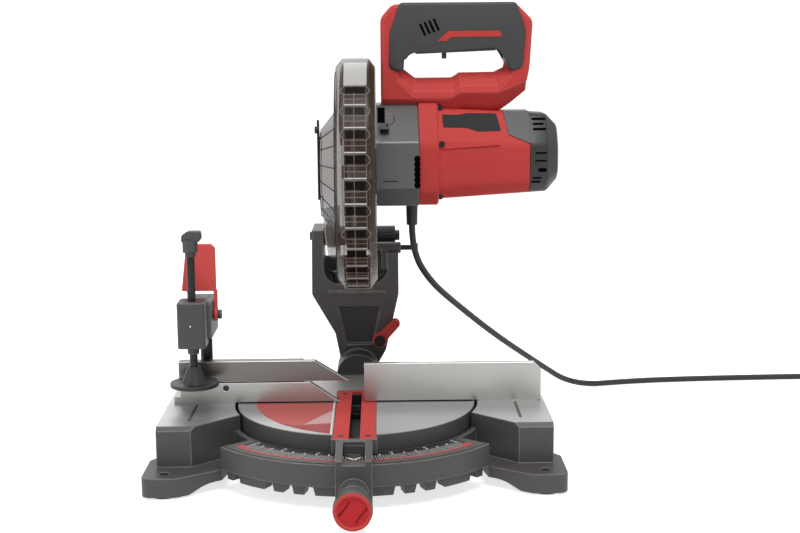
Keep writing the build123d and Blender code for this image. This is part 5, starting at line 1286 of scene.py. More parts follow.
@dataclass
class TurnTable:
    """Turned table with its front arm, printed half-moon, trough painted black as shade, and the cap of its lock.

    Attributes:
        table_z: Height of the table.
        trough_x: Half width of the trough.
        trough_y: Front and back ends of the trough and its slot.
        moon_right: Right edge of the half-moon.
        moon_back: Its back edge.
        moon_left: Left end of its back edge.
        moon_front: Front end of its right edge.
        moon_bulge: Point on its curved edge.
        band_start: Part of the curved edge that lies before the dark band.
        band: Inner corners of the dark band.
        wedge: Corners of the pale wedge.
        border: Width of the light border.
        lifts: Heights of field, band, wedge and border over the table.
        boss_y: Front of the arm, where the lock's round boss starts.
        bracket_y: Front of the bevel bracket.
        knob_z: Height of the lock knob's axis.
        dish_y: Floor of the dish in its cap.
        grip_line: One of the cap's two grip lines, across and up from the axis.
        grip_r: Radius of the grip lines.
    """

    table_z: float = 62.0
    trough_x: float = 14.2
    trough_y: Flat = (-136.0, 41.0)
    moon_right: float = -23.6
    moon_back: float = -5.0
    moon_left: float = -105.0
    moon_front: float = -117.0
    moon_bulge: Flat = (-78.0, -75.0)
    band_start: float = 0.55
    band: Outline = ((-23.6, -84.0), (-60.0, -88.0))
    wedge: Outline = ((-51.0, -85.0), (-24.0, -80.0), (-24.0, -34.0))
    border: float = 1.1
    lifts: tuple[float, ...] = (0.12, 0.18, 0.18, 0.2)
    boss_y: float = -182.0
    bracket_y: float = 100.0
    knob_z: float = 24.6
    dish_y: float = -234.5
    grip_line: Outline = ((3.1, -10.0), (3.9, -7.6), (5.2, -5.6), (10.8, 1.2), (12.6, 3.4))
    grip_r: float = 0.55

    def build(self) -> None:
        """Dress the table."""
        refined("turntable", [PAINT, PAINT_EDGE_WEAR_HIGHLIGHT, TURNED, BLACK, GREY, NECK_SHADE], 0.7, self.top)
        self.moon()
        refined("lock_knob_cap", [RED, RED_EDGE_HIGHLIGHT, RED_DISH], 0.6, self.dish)
        self.cap_lines()

    def top(self, middle: Vector, normal: Vector) -> Finish:
        """Turned finish for the table's top, black as painted shade for its trough, grey for the boss, and darker
        paint as painted shade for the bracket.

        Args:
            middle: Middle of a face.
            normal: Its normal.

        Returns:
            The face's finish.
        """
        inside = abs(middle.x) < self.trough_x and self.trough_y[0] < middle.y < self.trough_y[1]
        if inside and middle.z < self.table_z - 2.5 and normal.z > -0.5:
            # Black trough: painted shade.
            return BLACK
        if middle.y < self.boss_y - 0.5:
            return GREY
        # Darker bracket behind the insert: painted shade.
        if middle.y > self.bracket_y and (middle.z > self.table_z + 0.5 or abs(normal.y) > 0.9):
            return NECK_SHADE
        return TURNED if normal.z > 0.99 and middle.z > self.table_z - 0.1 else PAINT

    def dish(self, middle: Vector, normal: Vector) -> Finish:
        """Darker red for the dish of the lock knob's cap.

        Args:
            middle: Middle of a face.
            normal: Its normal.

        Returns:
            The face's finish.
        """
        return RED_DISH if normal.y < -0.5 and middle.y > self.dish_y - 0.5 else RED

    def cap_lines(self) -> None:
        """Two grip lines in the dish of the lock knob's cap."""
        shape = Shape()
        for side in (-1, 1):
            points = [(side * x, self.dish_y, self.knob_z + side * z) for x, z in self.grip_line]
            shape.tube(nurbs_path(points, 8), self.grip_r, sides=8)
        shape.ride("cap_lines", [RED_DARK], Body.MITER_KNOB, "red_plastic")

    def curve(self, start: float = 0.0) -> list[Flat]:
        """Curved edge of the half-moon.

        Args:
            start: Part of the edge that is left out at its back.

        Returns:
            Its points from the back to the front.
        """
        first, last = Vector((self.moon_left, self.moon_back)), Vector((self.moon_right, self.moon_front))
        return bend(first, 2 * Vector(self.moon_bulge) - (first + last) / 2, last, 24, start)

    def moon(self) -> None:
        """Printed half-moon: red field, dark band, pale wedge and light border."""
        field = self.curve() + [(self.moon_right, self.moon_back)]
        band = self.curve(self.band_start) + list(self.band)
        border = box(self.moon_right, self.moon_right + self.border, self.moon_front, self.moon_back)
        shape = Shape()
        for slot, (outline, lift) in enumerate(zip((field, band, self.wedge, border), self.lifts)):
            shape.prism(outline, Axis.Z, self.table_z - SINK, self.table_z + lift, slot)
        shape.ride("table_print", [DECAL, DECAL_DARK, DECAL_PALE, PRINT], Body.TURNTABLE, "red_plastic")


@dataclass
class MiterScale:
    """Printed miter scale: degree ticks, numbers, the red line along its edge and the pointer's print.

    Attributes:
        top: Height of the scale plate.
        half: Half of the printed range, in degrees.
        band: Inner and outer radius of the black band.
        tick: Inner and outer radius of the degree ticks.
        long_tick: Inner and outer radius of the ticks at each fifth degree.
        line: Inner and outer radius of the red line.
        line_low: Foot of the line.
        line_half: Half of the line's range.
        tip: Inner radius of the line's wide ends.
        tip_turn: Range of each wide end, in degrees.
        number_r: Radius of the numbers.
        number_h: Height of the numbers.
        printed: Degrees that have a number.
        pointer_x: Half width of the pointer's print.
        pointer_y: Back and tip of the pointer.
        pointer_z: Top of the pointer.
    """

    top: float = 46.8
    half: int = 45
    band: Flat = (131.0, 154.4)
    tick: Flat = (141.0, 154.4)
    long_tick: Flat = (137.5, 154.4)
    line: Flat = (154.4, 157.0)
    line_low: float = 45.9
    line_half: float = 47.5
    tip: float = 149.0
    tip_turn: float = 3.5
    number_r: float = 134.6
    number_h: float = 4.2
    printed: tuple[int, ...] = (-45, -30, -15, 15, 30, 45)
    pointer_x: float = 6.4
    pointer_y: Flat = (-151.0, -161.8)
    pointer_z: float = 48.8

    def build(self) -> None:
        """Build the print."""
        shape = Shape()
        band = self.sector(*self.band, -self.line_half, self.line_half)
        shape.prism(band, Axis.Z, self.top - SINK, self.top + 0.06)
        shape.ride("scale_band", [SCALE_BAND], *BASE_PRINT)
        for name, (inner, outer), step, width, ink in (("scale_ticks", self.tick, 1, 0.8, FINE_PRINT),
                                                       ("scale_long_ticks", self.long_tick, 5, 1.3, PRINT)):
            shape = Shape()
            shape.block((-width / 2, -outer, self.top - SINK), (width / 2, -inner, self.top + 0.12))
            row = Repeat(2 * self.half // step + 1, first=-self.half, turn=step)
            row.ride(name, shape.piece(name + "_one", [ink]), ink, *BASE_PRINT)
        self.red_line()
        self.numbers()
        self.pointer()

    def pointer(self) -> None:
        """White edges and red tip of the pointer on the turntable's arm."""
        shape = Shape()
        back, tip = self.pointer_y
        low = self.pointer_z - 0.6
        for x in (-self.pointer_x, self.pointer_x):
            shape.prism([(0.0, tip + 1.0), (x, back - 2.0), (x, back), (0.0, tip + 4.6)], Axis.Z, low,
                        self.pointer_z + 0.15)
        shape.prism([(-1.1, tip + 3.2), (1.1, tip + 3.2), (0.0, tip + 0.2)], Axis.Z, low, self.pointer_z + 0.25, 1)
        shape.ride("pointer_print", [PRINT, RED_PRINT], Body.TURNTABLE, "scale_print")

    @staticmethod
    def sector(inner: float, outer: float, low: float, high: float) -> list[Flat]:
        """Outline of a piece of a ring about the front.

        Args:
            inner: Inner radius.
            outer: Outer radius.
            low: Start angle in degrees.
            high: End angle.

        Returns:
            Its outline.
        """
        count = max(2, int(abs(high - low) / 2))
        turns = [math.radians(low + (high - low) * step / count) for step in range(count + 1)]
        points = [(outer * math.sin(t), -outer * math.cos(t)) for t in turns]
        return points + [(inner * math.sin(t), -inner * math.cos(t)) for t in reversed(turns)]

    def red_line(self) -> None:
        """Red line with its wide ends."""
        shape = Shape()
        line = self.sector(*self.line, -self.line_half, self.line_half)
        shape.prism(line, Axis.Z, self.line_low, self.top + 0.15)
        for side in (-1, 1):
            ends = sorted((side * (self.line_half - self.tip_turn), side * self.line_half))
            shape.prism(self.sector(self.tip, self.line[0] + 0.2, *ends), Axis.Z, self.line_low, self.top + 0.14)
        shape.ride("scale_line", [RED_PRINT], *BASE_PRINT)

    def numbers(self) -> None:
        """Degree numbers."""
        verts, faces = [], []
        for degrees in self.printed:
            data = bpy.data.curves.new("number", "FONT")
            data.body = str(abs(degrees))
            data.size = self.number_h * MM
            data.align_x = "CENTER"
            data.align_y = "CENTER"
            data.extrude = SINK * MM
            data.resolution_u = 3
            mesh = drawn(data)
            turn = math.radians(degrees)
            spot = Vector((self.number_r * math.sin(turn), -self.number_r * math.cos(turn), self.top + 0.05)) * MM
            matrix = Matrix.Translation(spot) @ Matrix.Rotation(turn, 4, "Z")
            start = len(verts)
            verts += [matrix @ vertex.co for vertex in mesh.vertices]
            faces += [[start + index for index in polygon.vertices] for polygon in mesh.polygons]
            bpy.data.meshes.remove(mesh)
        whole = bpy.data.meshes.new("scale_numbers")
        whole.from_pydata(verts, [], faces)
        riding(place("scale_numbers", whole, [PRINT]), *BASE_PRINT)


@dataclass
class Fork:
    """Tilting fork: throat painted black as shade, and the ledge in front of it.

    Attributes:
        left: Inner face of the left cheek.
        right: Inner face of the right cheek.
        throat: Height of the throat's floor.
        rim: Height up to which the throat is painted black as shade.
        front: Front face of the fork.
        ledge: Left, right, low and high ends of the ledge.
        ledge_out: How far the ledge stands out of the front face, and how far it goes in.
        neck: Height under which the neck is painted darker as shade.
    """

    left: float = -38.0
    right: float = 34.0
    throat: float = 162.0
    rim: float = 200.0
    front: float = 140.0
    ledge: Four = (-34.0, 33.0, 150.6, 155.4)
    ledge_out: Flat = (1.6, 1.0)
    neck: float = 128.0

    def build(self) -> None:
        """Dress the fork."""
        refined("bevel_arm_casting", [PAINT, PAINT_EDGE_WEAR_HIGHLIGHT, BLACK, NECK_SHADE], 1.2, self.inside)
        shape = Shape()
        out, back = self.ledge_out
        # The ledge takes the lighter edge finish: painted highlight with rubbed wear.
        shape.plate(rounded(box(*self.ledge), 1.2), Axis.Y, self.front - out, self.front + back, 0.8)
        shape.ride("fork_ledge", [PAINT_EDGE_WEAR_HIGHLIGHT], Body.BEVEL_ARM, "dark_casting")

    def inside(self, middle: Vector, _normal: Vector) -> Finish:
        """Black as painted shade for the throat's inner faces, and darker as painted shade for the neck.

        Args:
            middle: Middle of a face.
            _normal: Its normal, which doesn't matter here.

        Returns:
            The face's finish.
        """
        across = self.left - 0.5 < middle.x < self.right + 0.5
        if across and middle.y > self.front + 1 and self.throat - 1 < middle.z < self.rim:
            # Black throat: painted shade.
            return BLACK
        return NECK_SHADE if middle.z < self.neck else PAINT


@dataclass
class Motor:
    """Motor housing with its ring, badge, screws, end cap and vents, and the gear housing's collar, vents and lock.

    Attributes:
        axis: Place of the motor's axis, Y and Z.
        section: Outline of the housing as parts of its half size.
        ring: Left end, right end and half size of the ring.
        body: Left end and half size, right end and half size of the tapering body.
        stations: Places along the body with a section of their own.
        cap: Left end, and right end with half size, of the end cap.
        tongue_edge: Left edge of the cap's tongue, along X and up.
        badge: Outline of the plain badge, along X and up.
        rib: Outline of the rib under it.
        screws: Places of the ring's screws, along X and up.
        slots: Left end, right end, height and width of each slot of the end cap.
        gear: Outline of the gear housing, along Y and up.
        collar: Left and right ends of the seam collar on it.
        scallops: Place along X and height of the lowest scallop, and the pitch of the six.
        slits: Left, right, low and high ends and the back of each slit, painted near-black as shade.
        facet: Foot and top of the gear housing's upper facet, Y and Z.
        slot: Left, right, low and high ends of the slot in that facet, painted near-black as shade.
        lock: Place along X, height and radius of the spindle lock's bore.
        lock_back: Back of the spindle lock.
        pin: Radius, front and back of the pin before the spindle lock.
        button_box: Left, right, low and high ends of its box.
    """

    axis: Flat = (45.88, 319.9)
    section: Outline = ((-0.45, 1), (0.45, 1), (1, 0.22), (1, -0.72), (0.74, -1), (-0.74, -1), (-1, -0.72),
                                 (-1, 0.22))
    ring: Point = (67.0, 87.2, 52.4)
    body: Four = (87.2, 46.5, 199.0, 40.0)
    stations: Flat = (120.0, 150.0)
    cap: Point = (181.0, 212.0, 27.0)
    tongue_edge: Outline = ((180.0, 330.8), (169.6, 335.0), (159.0, 339.5), (156.8, 351.0), (154.6, 361.5))
    badge: Outline = ((91.5, 360.0), (109, 359.4), (116, 361.0), (147.5, 360.4), (152, 343.2), (129, 342.6),
                               (116, 346.6), (92.5, 347.2))
    rib: Outline = ((91.0, 333.0), (150.0, 329.4), (91.0, 326.0))
    screws: Outline = ((89.2, 366.8), (90.6, 331.0), (89.0, 276.4))
    slots: tuple[Four, ...] = (
        (184, 198.6, 354.5, 2.2), (185, 196.5, 349.6, 2.0), (185, 198.6, 344.4, 2.4),
        (186.5, 198.6, 320.6, 1.8), (186.5, 198.4, 312.6, 1.6), (189.5, 198.6, 303.2, 4.0),
        (183.5, 193.0, 295.1, 1.8), (182.5, 192.0, 291.0, 1.8),
    )
    gear: Outline = ((-16.02, 288.0), (-16.02, 333.9), (25.88, 371.02), (63.9, 371.02), (98.02, 343.9),
                              (98.02, 295.9), (77.9, 267.48), (4.0, 267.48))
    collar: Flat = (23.6, 28.4)
    scallops: Point = (64.9, 291.0, 5.3)
    slits: tuple[tuple[float, float, float, float, float], ...] = (
        (64.6, 67.0, 288.4, 320.0, -14.0), (30.0, 45.5, 294.6, 295.4, -15.0),
    )
    facet: tuple[Flat, Flat] = ((-16.0, 333.9), (25.9, 371.0))
    slot: Four = (25.2, 32.6, 353.0, 367.6)
    lock: Point = (37.0, 356.0, 5.0)
    lock_back: float = 20.0
    pin: Point = (0.9, -8.0, 12.0)
    button_box: Four = (27.6, 37.0, 347.4, 353.2)

    def half(self, x: float) -> float:
        """Half size of the housing.

        Args:
            x: Place along the motor.

        Returns:
            Half size in mm.
        """
        left, wide, right, narrow = self.body
        if x <= right:
            return wide + (narrow - wide) * (x - left) / (right - left)
        return narrow + (self.cap[2] - narrow) * (x - right) / (self.cap[1] - right)

    def loop(self, x: float, half: float) -> list[Vector]:
        """Section at one place.

        Args:
            x: Place along the motor.
            half: Half size.

        Returns:
            Its points in metres.
        """
        flats = [(self.axis[0] + u * half, self.axis[1] + v * half) for u, v in self.section]
        return [Axis.X.point(flat, x) for flat in rounded(flats, 5.0, 3)]

    def front_y(self, x: float, z: float) -> float:
        """Front of the housing.

        Args:
            x: Place along the motor.
            z: Height.

        Returns:
            Y of the front face there.
        """
        half = self.half(x)
        rise = (z - self.axis[1]) / half
        (roof, _), (_, shoulder), (_, knee), (foot, _) = self.section[1:5]
        across = -1.0
        if rise > shoulder:
            across += (1 - roof) * (rise - shoulder) / (1 - shoulder)
        elif rise < knee:
            across += (1 - foot) * (knee - rise) / (1 + knee)
        return self.axis[0] + across * half

    def facet_y(self, height: float) -> float:
        """Front of the gear housing's upper facet.

        Args:
            height: Height on the facet.

        Returns:
            Y of the facet there.
        """
        (y0, z0), (y1, z1) = self.facet
        return y0 + (height - z0) * (y1 - y0) / (z1 - z0)

    def on_facet(self, shape: Shape, outline: Sequence[Flat], fronts: Flat, slot: int = 0) -> None:
        """Add a plate that lies along the gear housing's upper facet.

        Args:
            shape: Mesh under construction.
            outline: Its outline, along X and up.
            fronts: How far its two faces are before the facet.
            slot: Material place.
        """
        shape.loft([[Axis.Y.point((x, z), self.facet_y(z) - away) for x, z in outline] for away in fronts], slot)

    def panel(self, shape: Shape, outline: Sequence[Flat], lift: float) -> None:
        """Add a thin panel on the front of the housing.

        Args:
            shape: Mesh under construction.
            outline: Its outline, along X and up.
            lift: How far it stands out.
        """
        shape.loft([[Axis.Y.point((x, z), self.front_y(x, z) - out) for x, z in outline] for out in (-0.8, lift)])

    def build(self) -> None:
        """Build the motor's pieces."""
        self.shells()
        self.tongue()
        self.marks()
        self.vents()
        self.gear_marks()
        self.button()

    def shells(self) -> None:
        """Red ring and body, black end cap."""
        left, right, half = self.ring
        start, end, small = self.cap
        shape = Shape()
        shape.loft([self.loop(left, half - 0.8), self.loop(left + 0.8, half), self.loop(right - 1.6, half),
                    self.loop(right, half - 1.6)])
        shape.loft([self.loop(x, self.half(x)) for x in (self.body[0] - 0.5, *self.stations, start)])
        shape.ride("motor_shell", [RED], *HEAD_RED, "motor_housing", sharp=20)
        middles = (start + 0.6, self.body[2] - 1.5, self.body[2] + 1, end - 1.5)
        shape = Shape()
        shape.loft([self.loop(start, self.half(start) - 0.8), *(self.loop(x, self.half(x)) for x in middles),
                    self.loop(end, small - 2.5)])
        shape.ride("motor_cap", [BLACK], *HEAD_BLACK, "motor_end_cap", sharp=20)

    def tongue(self) -> None:
        """Tongue of the cap over the top of the body."""
        middle = Vector((0, *self.axis))
        right = self.cap[0] + 0.8
        sides = [[(x, self.front_y(x, z), z) for x in (left, right)] for left, z in self.tongue_edge]
        sides += [[(x, 2 * self.axis[0] - y, z) for x, y, z in side] for side in reversed(sides)]
        loops = []
        for side in sides:
            inner, outer = [], []
            for x, y, z in side:
                away = (Vector((0, y, z)) - middle).normalized()
                inner.append((Vector((x, y, z)) - away * 1.2) * MM)
                outer.append((Vector((x, y, z)) + away * 0.9) * MM)
            loops.append(inner + outer[::-1])
        shape = Shape()
        shape.loft(loops)
        shape.ride("cap_tongue", [BLACK], *HEAD_BLACK, width=0.3, edge=0, sharp=28)

    def marks(self) -> None:
        """Plain badge, rib and the ring's screws."""
        shape = Shape()
        self.panel(shape, rounded(self.badge, 1.5), 0.35)
        shape.ride("motor_badge", [BADGE], *HEAD_BLACK)
        shape = Shape()
        self.panel(shape, self.rib, 0.9)
        shape.ride("motor_rib", [RED], *HEAD_RED)
        shape = Shape()
        profile = ((1.3, 1.2), (1.3, 2.4), (2.7, 2.4), (3.0, 1.9), (3.0, -6.0))
        for x, z in self.screws:
            front = min(self.front_y(x, z), self.axis[0])
            for side in (-1, 1):
                y = self.axis[0] + side * (self.axis[0] - front)
                shape.lathe([(radius, y + side * out) for radius, out in profile], Axis.Y, (x, z), 24)
        shape.ride("motor_screws", [BLACK_STEEL], Body.HEAD, "dark_steel", "housing_screws")

    def vents(self) -> None:
        """Slots of the end cap, as near-black panels of painted shade."""
        shape = Shape()
        for left, right, z, tall in self.slots:
            outline = box(left, right, z - tall / 2, z + tall / 2)
            self.panel(shape, rounded(outline, tall * 0.4, 2), 0.25)
        shape.ride("cap_vents", [VOID_SHADE], *HEAD_BLACK)

    def gear_marks(self) -> None:
        """Vents, slits and slot of the gear housing in near-black painted shade, and its seam collar."""
        scallop = Shape()
        scallop.lathe([(3.3, -16.3), (3.3, -14.0)], Axis.Y, (0.0, 0.0), 20)
        x, z, pitch = self.scallops
        row = Repeat(6, centre=(x, 0.0, z), step=(0.0, 0.0, pitch))
        row.ride("gear_vents", scallop.piece("scallop", [VOID_SHADE]), VOID_SHADE, *HEAD_BLACK)
        shape = Shape()
        for left, right, low, high, back in self.slits:
            shape.block((left, -16.25, low), (right, back, high))
        shape.ride("gear_slits", [VOID_SHADE], *HEAD_BLACK, smooth=False)
        shape = Shape()
        shape.prism(rounded(self.gear, 4.0), Axis.X, *self.collar)
        shape.ride("gear_collar", [HEAD_PAINT], Body.HEAD, "dark_casting")
        shape = Shape()
        self.on_facet(shape, box(*self.slot), (-1.0, 0.7))
        shape.ride("spindle_slot", [VOID_SHADE], *HEAD_BLACK)

    def button(self) -> None:
        """Spindle lock: plug flush with the gear housing's upper facet, pin and box before it."""
        x0, z0, radius = self.lock
        pin_r, front, back = self.pin
        rim = circle((x0, z0), radius, 32)
        shape = Shape()
        shape.loft([[Axis.Y.point(flat, self.facet_y(flat[1])) for flat in rim],
                    [Axis.Y.point(flat, self.lock_back) for flat in rim]])
        shape.lathe([(pin_r, front), (pin_r, back)], Axis.Y, (x0 - 2, z0 - 3.8), 12, slot=1)
        self.on_facet(shape, box(*self.button_box), (9.4, 5.4), slot=1)
        shape.ride("spindle_button", [HEAD_PAINT, GREY], Body.SPINDLE_LOCK, "black_plastic", "spindle_lock")


@dataclass
class Handle:
    """D handle: faceted red frame, rubber grip with its stripe, and skirts beside the trigger.

    Attributes:
        frame: Outside of the frame, across and up.
        hole: Its hole, half way through.
        hole_front: The hole at the front and back faces.
        grip: Outline of the rubber.
        skirt: Outline of the rubber beside the trigger.
        stripe: Outlines of the stripe's bar and tail.
        ridge: Outline of one grip slot about its middle.
        ridges: Place across and height of the first slot, and shift across and up to the next.
        front: Front face of the frame.
        back: Back face of the frame.
        skin: How far the rubber stands out.
        foot: Place along X, top and foot of each section of the foot.
        slope: Distance back for each distance down.
        rims: Depth of each step of the frame's rims, and how far it is inset.
        facets: Depth of each facet's edge in the hole, and its part of the way to the hole's middle.
    """

    frame: Outline = ((28.9, 373.5), (28.9, 458), (41, 471.8), (168, 471.8), (184.8, 455), (181.8, 407),
                               (178.6, 391), (165, 385), (150, 379), (110, 379), (102.5, 373.2))
    hole: Outline = ((52.6, 406), (52.6, 414), (58, 437.5), (155, 437.5), (157.2, 413.5), (155.7, 407.2),
                              (146, 402.6), (110, 402.2), (102, 397.2), (64.3, 397.1))
    hole_front: Outline = ((46, 394), (44, 414), (50, 446), (163, 446), (166, 413.5), (163, 397),
                                    (149, 383.5), (111.5, 383.5), (103.5, 377.5), (62, 378))
    grip: Outline = ((48.3, 473.4), (37.9, 443.8), (36.8, 408.3), (47, 402.7), (52.8, 406), (52.8, 414),
                              (58, 437.5), (155, 437.5), (157, 413.5), (161.7, 402.6), (175.1, 407.9),
                              (177.9, 445.8), (167.6, 473.4))
    skirt: Outline = ((49, 447), (50, 416), (54.5, 416), (58.5, 420.8), (64, 423), (91, 423.6), (142, 427.4),
                               (150, 425.6), (153.4, 421), (156.4, 415), (161, 415), (161, 447))
    stripe: tuple[Outline, ...] = (((100.8, 438.4), (98, 444.5), (150.5, 444.5), (153.5, 438.7)),
                                            ((87, 434.5), (98, 444.5), (101, 438.4), (96, 434.5)))
    ridge: Outline = ((1.4, -6), (4.0, -6), (-1.4, 6), (-4.0, 6))
    ridges: Four = (72, 446, 4.6, 1.7)
    front: float = 21.0
    back: float = 57.0
    skin: float = 2.4
    foot: tuple[Point, ...] = (
        (28.9, 377.0, 370.0), (66.0, 377.0, 370.0), (72.0, 377.0, 361.0), (103.5, 376.6, 361.0),
        (111.5, 382.5, 361.0), (149.0, 382.5, 361.0), (163.0, 388.0, 371.0), (178.0, 393.0, 384.0),
    )
    slope: float = 0.75
    rims: Outline = ((0.0, 3.0), (1.0, 1.0), (3.2, 0.0))
    facets: Outline = ((0.0, 0.0), (2.0, 0.3), (6.5, 0.66), (13.0, 1.0))

    def build(self) -> None:
        """Build the handle's pieces."""
        self.shell()
        self.base()
        self.rubber()
        self.marks()

    def through(self, outlines: Sequence[tuple[float, Sequence[Flat]]]) -> list[list[Vector]]:
        """Loops from the front face to the back face, alike from both.

        Args:
            outlines: Depth and outline of each loop, from a face inwards.

        Returns:
            The loops in metres.
        """
        loops = [[Axis.Y.point(flat, self.front + depth) for flat in outline] for depth, outline in outlines]
        return loops + [[Axis.Y.point(flat, self.back - depth) for flat in outline]
                        for depth, outline in reversed(outlines)]

    def shell(self) -> None:
        """Red frame with a faceted hole."""
        outline = rounded(self.frame, 5.0)
        outers = [(depth, inset(outline, back)) for depth, back in self.rims]
        inners = []
        for depth, part in self.facets:
            inners.append((depth, [(a[0] + (b[0] - a[0]) * part, a[1] + (b[1] - a[1]) * part)
                                   for a, b in zip(self.hole_front, self.hole)]))
        shape = Shape()
        shape.ring(self.through(outers), self.through(inners))
        shape.ride("handle_frame", [RED, RED_EDGE_HIGHLIGHT], *HEAD_RED, "handle_front_shell",
                   "handle_rear_shell", width=0.5, angle=12, edge=1, sharp=24)

    def base(self) -> None:
        """Foot under the frame, sloping back to the motor."""
        loops = []
        for x, top, low in self.foot:
            back = (top - low) * self.slope
            section = [(self.front + 6, top + 3), (self.front, top), (self.front + back, low),
                       (self.back - back, low), (self.back, top), (self.back - 6, top + 3)]
            loops.append([Axis.X.point(flat, x) for flat in section])
        shape = Shape()
        shape.loft(loops)
        shape.ride("handle_foot", [RED], *HEAD_RED, sharp=24)

    def rubber(self) -> None:
        """Rubber over the top and beside the trigger."""
        shape = Shape()
        low, high = self.front - self.skin, self.back + self.skin
        shape.plate(rounded(self.grip, 4.0), Axis.Y, low, high, 3.2)
        for y0, y1 in ((low + 0.05, self.front + 0.7), (self.back - 0.7, high - 0.05)):
            shape.plate(rounded(self.skirt, 1.5), Axis.Y, y0, y1, 0.6)
        shape.ride("handle_rubber", [RUBBER], Body.HEAD, "grip_rubber", "handle_grip", sharp=50)

    def marks(self) -> None:
        """Stripe, and grip slots in the rubber's front in near-black painted shade."""
        face = self.front - self.skin
        shape = Shape()
        for outline in self.stripe:
            shape.plate(outline, Axis.Y, face - 0.5, face + 2.6, 0.1, steps=1)
        shape.ride("grip_stripe", [RED], *HEAD_RED)
        slot = Shape()
        slot.plate(rounded(self.ridge, 1.0), Axis.Y, face - 0.2, face + 1.0, 0.15)
        x, z, across, up = self.ridges
        row = Repeat(4, centre=(x, 0, z), step=(across, 0, up))
        row.ride("grip_ridges", slot.piece("grip_slot", [VOID_SHADE]), VOID_SHADE, Body.HEAD, "grip_rubber")


